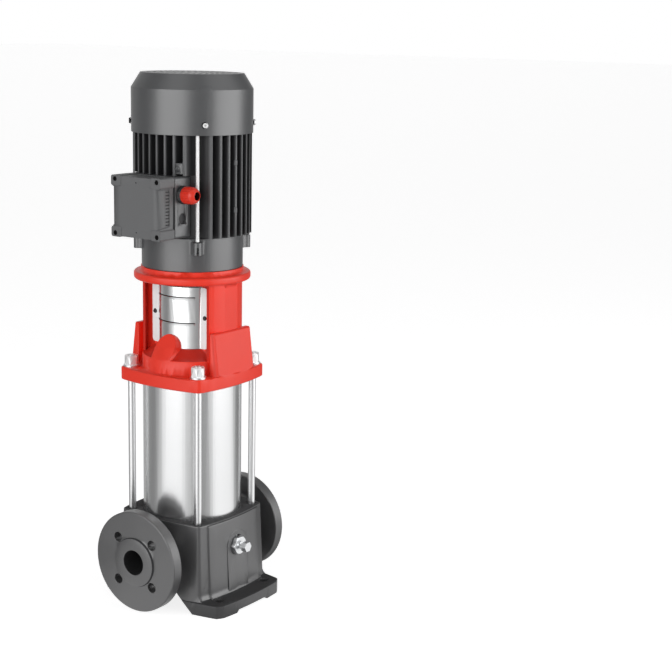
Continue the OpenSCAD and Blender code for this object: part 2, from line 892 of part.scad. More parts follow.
module seal_cover_screws() {
  color(steel) diagonals(seal_pcd / 2) translate([0, 0, apron_top + seal_cover_t]) difference() {
    union() {
      translate([0, 0, -seal_screw_l - seal_cover_t])
        cylinder(r = seal_screw_r, h = seal_screw_l + seal_cover_t + eps);
      cylinder(r = seal_screw_r + 2, h = 5);
    }
    translate([0, 0, 2.5]) hexagon(5, 3);
  }
}

// Stationary ring of the mechanical seal, pressed up into the seal cover.
module seal_seat() {
  color("#7a6a58") translate([0, 0, apron_top - seat_t]) ring(seat_r, shaft_r + 1, seat_t - 0.1);
}

module seal_head() {
  color(steel) {
    translate([0, 0, seal_low]) ring(spring_r, shaft_r + fit, head_low - seal_low);
    translate([0, 0, head_low]) ring(seat_r, shaft_r + fit, nose_low - head_low);
    translate([0, 0, nose_low]) ring(seat_r - 2.5, shaft_r + fit, apron_top - seat_t - nose_low - 2 * eps);
  }
}

module cup(floor_in, h) {
  ring(chamber_r, floor_in, chamber_wall);
  ring(chamber_r, chamber_r - chamber_wall, h);
}

module inlet_chamber() {
  color(steel) translate([0, 0, base_h]) cup(well_r, inlet_h);
}

// Stamped stage chambers, each with a diffuser disc carried by return vanes.
module stage_chambers() {
  color(steel)
    for (i = [0:stage_n - 1])
      translate([0, 0, stack_z + i * stage_h]) {
        cup(neck_hole, stage_h);
        translate([0, 0, disc_z]) ring(disc_r, hub_r + 2, chamber_wall);
        for (a = [0:45:315])
          rotate(a) translate([hub_r + 4, -0.6, disc_z])
            cube([chamber_r - hub_r - 4.5, 1.2, stage_h - disc_z]);
      }
}

module top_chamber() {
  color(steel) translate([0, 0, stack_top - top_h]) difference() {
    union() {
      cup(hub_r + 2, top_h);
      translate([0, 0, top_h - chamber_wall]) ring(chamber_r, hub_r + 14, chamber_wall);
    }
    for (a = [15:30:345])
      rotate(a) translate([chamber_r - 5, -6, 4]) cube([10, 12, top_h - 9]);
  }
}

module stack_straps() {
  color(steel) intersection() {
    union() {
      translate([0, 0, base_h + 1])
        ring(chamber_r + gap + 1.5, chamber_r + gap, stack_top - base_h + 0.5);
      translate([0, 0, stack_top]) ring(chamber_r + gap + 1.5, chamber_r - 8, 1.5);
    }
    translate([-chamber_d, -strap_half, base_h]) cube([2 * chamber_d, 2 * strap_half, stack_top]);
  }
}

module neck_rings() {
  color("#2f3033")
    for (i = [0:stage_n - 1])
      translate([0, 0, stack_z + i * stage_h + chamber_wall])
        ring(neck_hole + 3, eye_r + 0.4, 1.8);
}

module pump_shaft() {
  color(steel) difference() {
    translate([0, 0, shaft_low]) union() {
      cylinder(r = shaft_r, h = shaft_top - shaft_low - 1);
      translate([0, 0, shaft_top - shaft_low - 1]) cylinder(r1 = shaft_r, r2 = shaft_r - 1, h = 1);
    }
    translate([0, 0, coupling_z + 9]) rotate([90, 0, 0])
      cylinder(r = pin_r + fit, h = pump_shaft_d + 2, center = true);
  }
}

// Closed impellers: eye ring, two shrouds, hub and curved vanes.
module impellers() {
  color(steel)
    for (i = [0:stage_n - 1])
      translate([0, 0, stack_z + i * stage_h]) impeller();
}

module impeller() {
  r = impeller_d / 2;
  translate([0, 0, 0.8]) ring(eye_r, eye_r - 1.5, hub_low);
  translate([0, 0, hub_low - 0.5]) ring(r, eye_r - 1.5, 1);
  translate([0, 0, hub_high - 1.2]) ring(r, shaft_r + fit, 1.2);
  translate([0, 0, hub_low]) ring(hub_r, shaft_r + fit, hub_high - hub_low);
  intersection() {
    translate([0, 0, hub_low]) ring(r - 0.5, hub_r - 0.5, hub_high - hub_low - 1);
    for (i = [0:vane_n - 1])
      rotate(i * 360 / vane_n) intersection() {
        translate([vane_x, 0, hub_low]) ring(vane_r, vane_r - 1.2, hub_high - hub_low - 0.6);
        translate([0, 0, hub_low - 1]) cube([r, r, hub_high]);
      }
  }
}

module shaft_spacers() {
  color(steel)
    for (i = [0:stage_n - 1]) {
      low = stack_z + i * stage_h + hub_high;
      high = i < stage_n - 1 ? low + stage_h - hub_high + hub_low : seal_low;
      translate([0, 0, low]) ring(hub_r, shaft_r + fit, high - low);
    }
}

module impeller_nut() {
  color(steel) translate([0, 0, stack_z + hub_low - 8]) difference() {
    hexagon(19, 8);
    translate([0, 0, -1]) cylinder(r = shaft_r + fit, h = 10);
  }
}

// One half of the split coupling; the side tells which half.
module coupling_half(side) {
  difference() {
    translate([0, 0, coupling_z]) rotate_extrude()
      polygon([[0, 0], [coupling_r - 1.5, 0], [coupling_r, 1.5],
               [coupling_r, coupling_l - 1.5], [coupling_r - 1.5, coupling_l], [0, coupling_l]]);
    translate([side > 0 ? split - coupling_d : -split, -coupling_d, coupling_z - 1])
      cube([coupling_d, 2 * coupling_d, coupling_l + 2]);
    translate([0, 0, coupling_z - 1]) cylinder(r = shaft_r + fit, h = shaft_top - coupling_z + 3);
    translate([0, 0, shaft_top + 1]) cylinder(r = motor_shaft_d / 2 + fit, h = coupling_l);
    translate([0, 0, coupling_z + 9]) rotate([90, 0, 0])
      cylinder(r = pin_r + fit, h = pin_l + 2 * fit, center = true);
    for (y = [-clamp_y, clamp_y])
      for (z = clamp_z) {
        translate([0, y, coupling_z + z]) rotate([0, 90, 0])
          cylinder(r = clamp_r + fit, h = coupling_d + 4, center = true);
        translate([clamp_seat, y, coupling_z + z]) rotate([0, 90, 0])
          cylinder(r = clamp_head_r + 0.2, h = coupling_d);
      }
    translate([-2.5 - fit, 0, shaft_top + 2]) cube([5 + 2 * fit, 13, coupling_l]);
  }
}

module coupling_half_left() {
  color("#9fa3a6") coupling_half(-1);
}

module coupling_half_right() {
  color("#9fa3a6") coupling_half(1);
}

module coupling_screws() {
  color("#2a2a2c")
    for (y = [-clamp_y, clamp_y])
      for (z = clamp_z)
        translate([clamp_seat, y, coupling_z + z]) rotate([0, 90, 0]) difference() {
          union() {
            translate([0, 0, -2 * clamp_seat - 4]) cylinder(r = clamp_r, h = 2 * clamp_seat + 4 + eps);
            cylinder(r = clamp_head_r, h = 6);
          }
          translate([0, 0, 2.5]) hexagon(6, 4);
        }
}

module coupling_pin() {
  color(steel) translate([0, 0, coupling_z + 9]) rotate([90, 0, 0])
    cylinder(r = pin_r, h = pin_l, center = true);
}

module motor_shaft() {
  end_r = motor_shaft_d / 2;
  seat = bearing_in - fit / 2;
  lower = bearing_low - shaft_end;
  upper = bearing_high - shaft_end;
  tip = fan_z + fan_h - shaft_end;
  color(steel) difference() {
    translate([0, 0, shaft_end]) rotate_extrude()
      polygon([[0, 0], [end_r - 1, 0], [end_r, 1], [end_r, lower - 1], [seat, lower - 1],
               [seat, lower + bearing_t], [core_shaft_r, lower + bearing_t], [core_shaft_r, upper],
               [seat, upper], [seat, upper + bearing_t + 1], [fan_seat_r, upper + bearing_t + 1],
               [fan_seat_r, tip], [0, tip]]);
    translate([-key_w / 2, end_r - key_sunk, shaft_end + key_end])
      cube([key_w, 10, key_l]);
  }
}

module shaft_key() {
  color(steel) translate([-key_w / 2 + fit / 2, motor_shaft_d / 2 - key_sunk + fit, shaft_end + key_end + fit])
    cube([key_w - fit, key_h, key_l - 2 * fit]);
}

// Laminated rotor with its two short-circuit rings.
module rotor_core() {
  color("#8d9093") translate([0, 0, core_low]) {
    ring(core_in - air_gap, core_shaft_r + fit, core_l);
    translate([0, 0, -8]) ring(core_in - 4, 22, 8 + eps);
    translate([0, 0, core_l - eps]) ring(core_in - 4, 22, 8);
  }
}

module cooling_fan() {
  color("#26272a") translate([0, 0, fan_z]) difference() {
    union() {
      cylinder(r = 15, h = fan_h - 4);
      translate([0, 0, 2]) cylinder(r1 = fan_r, r2 = fan_r - 4, h = 2.5);
      for (i = [0:blade_n - 1])
        rotate(i * 360 / blade_n) translate([10, -1, 2]) cube([fan_r - 13, 2, fan_h - 6]);
    }
    translate([0, 0, -1]) cylinder(r = fan_seat_r + fit, h = fan_h + 2);
  }
}

// Half section of one bearing race with its ball groove.
module race_ring(low_r, high_r) {
  difference() {
    ring(high_r, low_r, bearing_t);
    translate([0, 0, bearing_t / 2]) rotate_extrude()
      translate([ball_mid, 0]) circle(r = ball_r + 0.06, $fn = 48);
  }
}

module bearing_inner_rings() {
  color(steel)
    for (z = [bearing_low, bearing_high])
      translate([0, 0, z]) race_ring(bearing_in, bearing_in + race);
}

module bearing_outer_rings() {
  color(steel)
    for (z = [bearing_low, bearing_high])
      translate([0, 0, z]) race_ring(bearing_out - race, bearing_out);
}

// Ball set and cage of both bearings; the cage holds the balls apart.
module bearing_balls() {
  color("#dfe1e3")
    for (z = [bearing_low, bearing_high])
      translate([0, 0, z + bearing_t / 2]) {
        for (i = [0:ball_n - 1])
          rotate(i * 360 / ball_n) translate([ball_mid, 0, 0]) sphere(r = ball_r, $fn = 32);
        translate([0, 0, -1]) ring(ball_mid + 1.2, ball_mid - 1.2, 2);
      }
}

module drive_end_shield() {
  color(motor_grey) difference() {
    union() {
      translate([0, 0, motor_z]) rotate_extrude($fn = 180)
        polygon([[15, 0], [shield_r - 0.8, 0], [shield_r, 0.8], [shield_r, shield_h],
                 [shield_r - shield_wall, shield_h], [shield_r - shield_wall, shield_floor],
                 [bearing_out + 5, shield_floor], [bearing_out + 5, bearing_t + 9],
                 [bearing_out + fit, bearing_t + 9], [bearing_out + fit, bearing_low - motor_z],
                 [15, bearing_low - motor_z]]);
      translate([0, 0, motor_z - spigot_h]) ring(spigot_r, land_in - 8, spigot_h + eps);
      for (a = [45:90:315])
        rotate(a) translate([0, 0, motor_z + lug_low]) shield_lug();
    }
    diagonals(bolt_r) translate([0, 0, motor_z + lug_low + 3]) cylinder(r = bolt_d / 2 + fit, h = shield_h);
    diagonals(motor_pcd / 2) translate([0, 0, motor_z - 1]) cylinder(r = 4 + fit, h = shield_floor + 2);
  }
}

// Round boss for a motor tie bolt, blended into the shield.
module shield_lug() {
  reach = bolt_r - 1.7;
  difference() {
    union() {
      translate([reach, 0, 0]) cylinder(r = lug_r, h = lug_h);
      linear_extrude(lug_h)
        polygon([[shield_r - 6, -12], [shield_r - 2.2, -11], [shield_r + 0.2, -8.6], [shield_r + 2.4, -6.9],
                 [reach, -lug_r], [reach, lug_r], [shield_r + 2.4, 6.9], [shield_r + 0.2, 8.6],
                 [shield_r - 2.2, 11], [shield_r - 6, 12]]);
    }
    translate([reach + 3, -1.2, -1]) cube([10, 2.4, lug_h - 5]);
  }
}

module motor_flange_screws() {
  color("#2a2a2c") diagonals(motor_pcd / 2) translate([0, 0, ring_z + screw_seat]) difference() {
    union() {
      translate([0, 0, -1]) cylinder(r = 4, h = motor_z - ring_z - screw_seat + shield_floor);
      translate([0, 0, -head_h]) cylinder(r = 6.5, h = head_h);
    }
    translate([0, 0, -head_h - 1]) hexagon(6, 5);
  }
}

// Parallel cooling fins in four quadrants, cut to a common round outline.
module fins() {
  intersection() {
    ring(fin_r, frame_r - 2, frame_h);
    union()
      for (turn = [0, 90, 180, 270])
        rotate(turn)
          for (x = fin_xs)
            translate([x - fin_t / 2, abs(x), fin_start])
              cube([fin_t, fin_r, frame_h - fin_start]);
  }
}

// Small ejector nubs on the edge of one fin on each side.
module fin_nubs() {
  for (turn = [0, 180])
    for (z = nub_z)
      rotate(turn) translate([fin_r - nub_r + 0.8, -fin_pitch / 2, z]) union() {
        cylinder(r = nub_r, h = nub_h - 3);
        translate([0, 0, nub_h - 3 - eps]) cylinder(r1 = nub_r, r2 = 1.3, h = 1.5);
        translate([0, 0, -1.5 + eps]) cylinder(r1 = 1.3, r2 = nub_r, h = 1.5);
      }
}

module stator_frame() {
  color(motor_grey) difference() {
    translate([0, 0, frame_z]) union() {
      ring(frame_r, core_out, frame_h);
      ring(frame_r + 2.5, core_out, 5);
      fins();
      fin_nubs();
    }
    translate([0, 0, box_z - 3]) difference() {
      translate([-box_space_x, -lid_y, 0]) cube([2 * box_space_x, lid_y - box_back + 8, box_h + 3 + gap]);
      translate([0, 0, -1]) cylinder(r = frame_r, h = box_h + 10);
    }
    box_screw_holes();
  }
}

module box_screw_holes() {
  for (sx = [-1, 1])
    for (sz = [-1, 1])
      translate([sx * 14, -frame_r - 1, box_mid + sz * 30]) rotate([-90, 0, 0])
        cylinder(r = 2, h = 5);
}

// Laminated stator packet with open slots towards the rotor.
module stator_core() {
  color("#8d9093") translate([0, 0, core_low]) difference() {
    ring(core_out - fit, core_in, core_l);
    for (i = [0:slot_n - 1])
      rotate(i * 360 / slot_n) translate([core_in - 1, -2, -1]) cube([12, 4, core_l + 2]);
  }
}

// Copper coils: a bar in every slot and a turned overhang at both ends.
module stator_windings() {
  color("#b5652d") translate([0, 0, core_low]) {
    for (i = [0:slot_n - 1])
      rotate(i * 360 / slot_n) translate([core_in + 2, -1.9, -eps]) cube([8.9, 3.8, core_l + 2 * eps]);
    for (z = [0, core_l])
      translate([0, 0, z]) mirror([0, 0, z > 0 ? 0 : 1]) rotate_extrude()
        polygon([[core_in + 2, 0], [core_in + 12, 0], [core_in + 16, 5], [core_in + 15, 14],
                 [core_in + 10, 17], [core_in + 4, 15]]);
  }
}

module rear_end_shield() {
  color(motor_grey) difference() {
    union() {
      translate([0, 0, frame_top]) rotate_extrude($fn = 144)
        polygon([[bearing_out + fit, 0], [frame_r + 1, 0], [frame_r + 1, rear_wall],
                 [bearing_out + 6, rear_wall], [bearing_out + 4, bearing_t + 5], [15, bearing_t + 5],
                 [15, bearing_t + 2.1], [bearing_out + fit, bearing_t + 2.1]]);
      intersection() {
        translate([0, 0, frame_top]) ring(cover_r - cover_wall - gap, frame_r - 3, lug_top);
        for (a = [45:90:315])
          rotate(a) translate([0, -lug_half, frame_top]) cube([cover_r, 2 * lug_half, lug_top]);
      }
    }
    diagonals(bolt_r) translate([0, 0, frame_top - 1]) cylinder(r = bolt_d / 2 + fit, h = lug_top + 2);
    at_cover_screws() translate([0, 0, -cap_screw_l - 3])
      cylinder(r = cap_screw_r + 2 * fit, h = cap_screw_l + 5);
  }
}

// Places of the fan cover screws, with Z pointing outwards.
module at_cover_screws() {
  for (a = [45:90:315])
    rotate(a) translate([0, (a == 45 || a == 225) ? -cap_side : cap_side, frame_top + cap_z])
      rotate([0, 90, 0]) translate([0, 0, cover_r - 0.25]) children();
}

module motor_tie_bolts() {
  color(steel) diagonals(bolt_r) {
    translate([0, 0, motor_z + lug_low + 4])
      cylinder(d = bolt_d, h = frame_top + lug_top + 6 - motor_z - lug_low - 4);
    translate([0, 0, frame_top + lug_top]) difference() {
      hexagon(8, 4);
      cylinder(d = bolt_d - 2 * eps, h = 5);
    }
  }
}

// Pressed fan cover with a cone and a perforated top.
module fan_cover() {
  w = cover_wall;
  k = w * 0.42;
  color(motor_grey) difference() {
    translate([0, 0, frame_top]) rotate_extrude($fn = 180)
      polygon([[cover_r - w, 0], [cover_r, 0], [cover_r, cover_h], [grille_r, cover_h + cone_h],
               [0, cover_h + cone_h], [0, cover_h + cone_h - w], [grille_r - k, cover_h + cone_h - w],
               [cover_r - w, cover_h - k]]);
    for (r = grille_rings) {
      n = floor(2 * PI * r / 8.6);
      for (i = [0:n - 1])
        rotate(i * 360 / n) translate([r, 0, cover_top - 2 * w])
          cylinder(r = grille_hole_r, h = 3 * w, $fn = 24);
    }
    at_cover_screws() translate([0, 0, -4]) cylinder(r = 2.3, h = 8);
  }
}

module fan_cover_screws() {
  color(steel) at_cover_screws() difference() {
    union() {
      translate([0, 0, -cap_screw_l]) cylinder(r = cap_screw_r, h = cap_screw_l + gap + eps);
      translate([0, 0, gap]) cylinder(r1 = cap_head_r, r2 = cap_head_r - 1.2, h = cap_head_h);
    }
    translate([0, 0, cap_head_h - 0.7]) hexagon(2.5, 2);
  }
}

// Rounded rectangle standing upright, from y0 to y1 in front of the shaft.
module upright(hx, hz, r, y0, y1) {
  translate([0, -y0, box_mid]) rotate([90, 0, 0]) corner_trim(hx, hz, r, y1 - y0);
}

// Inner space of box and lid, which leaves a post in each corner.
module box_space(y0, y1, inset = 0) {
  upright(box_w / 2 - box_wall - inset, box_h / 2 - pad_l, 2, y0, y1);
  upright(box_w / 2 - pad_w, box_h / 2 - box_wall, 2, y0, y1);
}

module terminal_box() {
  color(motor_grey) difference() {
    upright(box_w / 2, box_h / 2, box_r, box_back, box_front);
    translate([0, 0, box_z - 2]) cylinder(r = frame_r + fit, h = box_h + 4);
    box_space(cavity_back, box_front + 1);
    translate([0, -gland_y, gland_z]) rotate([0, 90, 0]) cylinder(r = entry_r + fit, h = box_w);
    translate([0, -blank_y, blank_z]) rotate([0, 90, 0]) cylinder(r = blank_r, h = box_w);
    side_panel();
    corner_holes(box_front - 16, box_front + 1, 1.9);
    for (sx = [-1, 1])
      for (sz = [-1, 1])
        translate([sx * 20, -box_back - 30, box_mid + sz * 12]) rotate([-90, 0, 0])
          cylinder(r = 2 + fit, h = 22);
  }
}

// Shallow panel on the cable side of the box.
module side_panel() {
  translate([box_w / 2 - panel_depth, -box_front + panel_side, box_z + panel_low])
    cube([2, box_front - box_back - 2 * panel_side, box_h - 2 * panel_low + 5]);
}

module corner_holes(y0, y1, r) {
  for (sx = [-1, 1])
    for (sz = [-1, 1])
      translate([sx * screw_x, -y0, box_mid + sz * screw_z]) rotate([90, 0, 0])
        cylinder(r = r, h = y1 - y0);
}

module lid_gasket() {
  color("#1c1c1c") difference() {
    upright(box_w / 2 - 1, box_h / 2 - 1, box_r, box_front, box_front + gasket_t);
    box_space(box_front - 1, box_front + gasket_t + 1);
    corner_holes(box_front - 1, box_front + gasket_t + 1, 2.2);
  }
}

module terminal_lid() {
  color(motor_grey) difference() {
    union() {
      upright(box_w / 2 - pad_out, box_h / 2 - 1, box_r, lid_back, lid_y - pad_rise_front);
      for (sx = [-1, 1])
        for (sz = [-1, 1])
          translate([sx * (box_w / 2 - pad_w / 2), -lid_back, box_mid + sz * (box_h / 2 - pad_l / 2)])
            rotate([90, 0, 0]) corner_trim(pad_w / 2, pad_l / 2, 3, lid_depth);
    }
    box_space(lid_back - 1, lid_y - box_wall, pad_out);
    corner_holes(lid_back - 1, lid_y + 1, 2.2);
    corner_holes(lid_y - 2.4, lid_y + 1, 3.3);
    for (side = [-1, 1]) {
      grip(side);
      translate([0, -lid_y + 2, box_mid + side * dot_z]) rotate([90, 0, 0]) cylinder(r = dot_r, h = 3);
    }
  }
}

// Finger grip in the lid's side: a slanted recess with short ribs.
module grip(side) {
  translate([side * (box_w / 2 - pad_out - grip_depth), -lid_y + grip_len, box_z])
    rotate([90, 0, -90]) mirror([0, 0, side > 0 ? 0 : 1]) translate([0, 0, -6]) difference() {
      linear_extrude(6)
        polygon([[0, grip_low + 3], [0, box_h - grip_high], [grip_len + 1, box_h - grip_high],
                 [grip_len + 1, grip_low]]);
      for (i = [1:rib_n])
        translate([-1, grip_low + i * (box_h - grip_low - grip_high) / (rib_n + 1), 5])
          cube([rib_l, 1.6, 2]);
    }
}

module lid_screws() {
  color("#1d1d1f")
    for (sx = [-1, 1])
      for (sz = [-1, 1])
        translate([sx * screw_x, -lid_y + 2.4, box_mid + sz * screw_z]) rotate([90, 0, 0]) difference() {
          union() {
            cylinder(r = 3, h = 2);
            translate([0, 0, -lid_depth - 12]) cylinder(r = 1.8, h = lid_depth + 12 + eps);
          }
          translate([0, 0, 1]) hexagon(2.5, 2);
        }
}

module terminal_block() {
  color("#2b2c2e") difference() {
    translate([-block_w / 2, -cavity_back - block_t, box_mid - block_h / 2]) cube([block_w, block_t, block_h]);
    at_studs() translate([0, 0, -1]) cylinder(r = stud_r + fit, h = block_t + 2);
  }
}

module at_studs() {
  for (x = [-stud_x, 0, stud_x])
    for (z = [-stud_z, stud_z])
      translate([x, -cavity_back, box_mid + z]) rotate([90, 0, 0]) children();
}

module terminal_studs() {
  color("#c8a24a") at_studs() union() {
    cylinder(r = stud_r, h = stud_l);
    translate([0, 0, block_t]) hexagon(8, 3.5);
  }
}

module gland_body() {
  color("#202124") translate([box_w / 2, -gland_y, gland_z]) rotate([0, 90, 0]) difference() {
    union() {
      translate([0, 0, -stem_l]) cylinder(r = entry_r, h = stem_l + eps);
      cylinder(r = gland_r + 0.2, h = 1.2);
      hexagon(2 * gland_r - 1.5, collar_w);
      cylinder(r = thread_r, h = collar_w + thread_l);
    }
    translate([0, 0, -stem_l - 1]) cylinder(r = gland_bore + 1, h = stem_l + collar_w + thread_l + 2);
    translate([0, 0, collar_w + 3]) cylinder(r = gland_bore + 2, h = thread_l);
  }
}

// Dome nut of the cable gland with fine grip ribs.
module gland_nut() {
  color(signal_red) translate([box_w / 2 + collar_w, -gland_y, gland_z]) rotate([0, 90, 0]) difference() {
    union() {
      rotate_extrude()
        polygon([[gland_bore, 0], [gland_r - 0.6, 0], [gland_r - 0.6, 14], [gland_r - 1.1, 15.8],
                 [gland_r - 2.4, 17.8], [gland_r - 4.3, 19.6], [gland_r - 5, nut_l - 0.2],
                 [gland_bore + 0.3, nut_l], [gland_bore, nut_l - 0.4]]);
      for (i = [0:nut_rib_n - 1])
        rotate(i * 360 / nut_rib_n) translate([gland_r - 1.2, -0.9, 1]) cube([1.2, 1.8, 12.5]);
    }
    translate([0, 0, -1]) cylinder(r = thread_r + fit, h = thread_l + 1.5);
  }
}

module gland_seal() {
  color("#1c1c1c") translate([box_w / 2 + collar_w + 3, -gland_y, gland_z]) rotate([0, 90, 0])
    ring(gland_bore + 2 - fit, gland_bore, 6);
}

module entry_blank() {
  color("#2a2b2d") translate([box_w / 2 - box_wall - 2, -blank_y, blank_z]) rotate([0, 90, 0])
    cylinder(r = blank_r - fit, h = box_wall - 1);
}

// Earth terminal: a pad between two fins with a clamp screw.
module earth_terminal() {
  color(motor_grey) difference() {
    translate([earth_x, -earth_y, earth_z]) cube([earth_w, 24, earth_h]);
    translate([0, 0, earth_z - 1]) cylinder(r = frame_r + fit, h = earth_h + 2);
  }
  color(steel) translate([earth_x + earth_w / 2, -earth_y, earth_z + earth_h / 2]) rotate([90, 0, 0]) {
    cylinder(r = 4, h = 0.8);
    translate([0, 0, 0.8 - eps]) hexagon(5.5, 2.2);
  }
}

base_casting();
drain_plug();
bypass_spindle();
outer_sleeve();
sleeve_seals();
tie_rods();
tie_rod_washers();
tie_rod_nuts();
motor_stool();
vent_plug();
vent_screw();
guard_front();
guard_rear();
guard_screws();
seal_cover();
seal_cover_screws();
seal_seat();
inlet_chamber();
stage_chambers();
top_chamber();
stack_straps();
neck_rings();
pump_shaft();
impellers();
shaft_spacers();
impeller_nut();
seal_head();
coupling_half_left();
coupling_half_right();
coupling_screws();
coupling_pin();
motor_shaft();
shaft_key();
rotor_core();
cooling_fan();
bearing_inner_rings();
bearing_outer_rings();
bearing_balls();
drive_end_shield();
motor_flange_screws();
stator_frame();
stator_core();
stator_windings();
rear_end_shield();
motor_tie_bolts();
fan_cover();
fan_cover_screws();
terminal_box();
terminal_lid();
lid_gasket();
lid_screws();
terminal_block();
terminal_studs();
gland_body();
gland_nut();
gland_seal();
entry_blank();
earth_terminal();
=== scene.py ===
import json
import math

import bmesh
import bpy
from mathutils import Matrix, Vector


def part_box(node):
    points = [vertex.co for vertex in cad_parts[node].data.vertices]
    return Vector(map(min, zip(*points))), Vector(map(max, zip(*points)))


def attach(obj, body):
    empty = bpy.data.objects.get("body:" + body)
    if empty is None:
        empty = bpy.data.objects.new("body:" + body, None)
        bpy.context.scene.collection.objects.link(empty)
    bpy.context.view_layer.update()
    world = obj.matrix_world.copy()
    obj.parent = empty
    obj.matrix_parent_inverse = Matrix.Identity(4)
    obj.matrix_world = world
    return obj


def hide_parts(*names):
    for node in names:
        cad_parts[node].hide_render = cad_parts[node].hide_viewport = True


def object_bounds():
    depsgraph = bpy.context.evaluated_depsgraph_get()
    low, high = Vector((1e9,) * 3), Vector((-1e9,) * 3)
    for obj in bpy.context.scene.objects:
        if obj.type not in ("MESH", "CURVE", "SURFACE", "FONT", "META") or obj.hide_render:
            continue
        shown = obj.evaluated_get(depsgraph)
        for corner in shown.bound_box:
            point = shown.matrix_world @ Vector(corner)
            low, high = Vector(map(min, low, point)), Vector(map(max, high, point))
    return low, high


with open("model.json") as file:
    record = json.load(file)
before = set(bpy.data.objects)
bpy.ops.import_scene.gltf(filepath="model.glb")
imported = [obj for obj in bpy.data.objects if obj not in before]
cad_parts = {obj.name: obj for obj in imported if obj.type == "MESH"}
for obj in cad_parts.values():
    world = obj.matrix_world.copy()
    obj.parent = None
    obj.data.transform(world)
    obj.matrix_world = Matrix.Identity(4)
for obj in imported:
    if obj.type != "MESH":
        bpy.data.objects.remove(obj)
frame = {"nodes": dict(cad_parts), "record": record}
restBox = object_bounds()
nodes = frame["nodes"]
slotOf = {part["node"]: part["material_slot"] for part in frame["record"]["subparts"]}
bodyOf = {name: body for body, members in frame["record"]["behaviour"]["bodies"].items() for name in members}
print("frame loaded:", len(nodes), "nodes")


# helpers for node trees
def newGroup(name, inputs, outputs):
    tree = bpy.data.node_groups.new(name, "ShaderNodeTree")
    for label, kind, value in inputs:
        socket = tree.interface.new_socket(label, in_out="INPUT", socket_type=kind)
        socket.default_value = value
    for label, kind in outputs:
        tree.interface.new_socket(label, in_out="OUTPUT", socket_type=kind)
    return tree, tree.nodes.new("NodeGroupInput"), tree.nodes.new("NodeGroupOutput")


def addNode(tree, kind, settings=None, **values):
    node = tree.nodes.new(kind)
    for key, value in (settings or {}).items():
        setattr(node, key, value)
    for key, value in values.items():
        node.inputs[key.replace("_", " ")].default_value = value
    return node


def feed(tree, socket, value):
    # a value is another node's output, a colour or a number
    if isinstance(value, bpy.types.NodeSocket):
        tree.links.new(value, socket)
    elif isinstance(value, tuple) and len(socket.default_value) == 4:
        socket.default_value = (*value, 1)
    else:
        socket.default_value = value


def objectPlace(tree):
    return addNode(tree, "ShaderNodeTexCoord").outputs["Object"]


def mathNode(tree, operation, first, second=None, third=None, clamp=False):
    node = addNode(tree, "ShaderNodeMath", dict(operation=operation, use_clamp=clamp))
    for socket, value in zip(node.inputs, (first, second, third)):
        if value is not None:
            feed(tree, socket, value)
    return node.outputs[0]


def swingAround(tree, noise, amount, middle=0.0):
    # turns noise from 0 to 1 into a value that swings round the middle
    return mathNode(tree, "MULTIPLY_ADD", noise, amount, middle - amount / 2)


def vectorNode(tree, operation, first, second):
    node = addNode(tree, "ShaderNodeVectorMath", dict(operation=operation))
    feed(tree, node.inputs[0], first)
    feed(tree, node.inputs["Scale" if operation == "SCALE" else 1], second)
    return node.outputs[0]


def rampNode(tree, source, stops, interpolation="LINEAR"):
    # stops are places with one grey value each
    ramp = addNode(tree, "ShaderNodeValToRGB")
    ramp.color_ramp.interpolation = interpolation
    elements = ramp.color_ramp.elements
    while len(elements) < len(stops):
        elements.new(0.5)
    for element, (place, grey) in zip(elements, stops):
        element.position = place
        element.color = (grey, grey, grey, 1)
    tree.links.new(source, ramp.inputs["Fac"])
    return ramp.outputs["Color"]


def mixColour(tree, factor, first, second):
    node = addNode(tree, "ShaderNodeMix", dict(data_type="RGBA"))
    for place, value in zip((0, 6, 7), (factor, first, second)):
        feed(tree, node.inputs[place], value)
    return node.outputs[2]


# shared effects, which give colours, masks or heights only
speckleShape = dict(detail=3.0, roughness=0.6, broadScale=26.0, broadDetail=2.0, broadShare=1.2)


def buildSpeckle():
    tree, inside, out = newGroup("paintSpeckle", [
        ("Colour", "NodeSocketColor", (0.1, 0.1, 0.1, 1)), ("Scale", "NodeSocketFloat", 900.0),
        ("Amount", "NodeSocketFloat", 0.2)],
        [("Colour", "NodeSocketColor"), ("Height", "NodeSocketFloat"), ("Rough", "NodeSocketFloat")])
    place = objectPlace(tree)
    fine = addNode(tree, "ShaderNodeTexNoise", Detail=speckleShape["detail"],
                   Roughness=speckleShape["roughness"])
    broad = addNode(tree, "ShaderNodeTexNoise", Detail=speckleShape["broadDetail"],
                    Scale=speckleShape["broadScale"])
    tree.links.new(inside.outputs["Scale"], fine.inputs["Scale"])
    for noise in (fine, broad):
        tree.links.new(place, noise.inputs["Vector"])
    both = mathNode(tree, "ADD", swingAround(tree, fine.outputs["Fac"], 2.0),
                    swingAround(tree, broad.outputs["Fac"], speckleShape["broadShare"]))
    shade = mathNode(tree, "MULTIPLY_ADD", both, inside.outputs["Amount"], 1.0)
    tree.links.new(vectorNode(tree, "SCALE", inside.outputs["Colour"], shade), out.inputs["Colour"])
    tree.links.new(fine.outputs["Fac"], out.inputs["Height"])
    tree.links.new(broad.outputs["Fac"], out.inputs["Rough"])
    return tree


brushShape = dict(detail=2.0, toneScale=9.0, toneDetail=1.0)


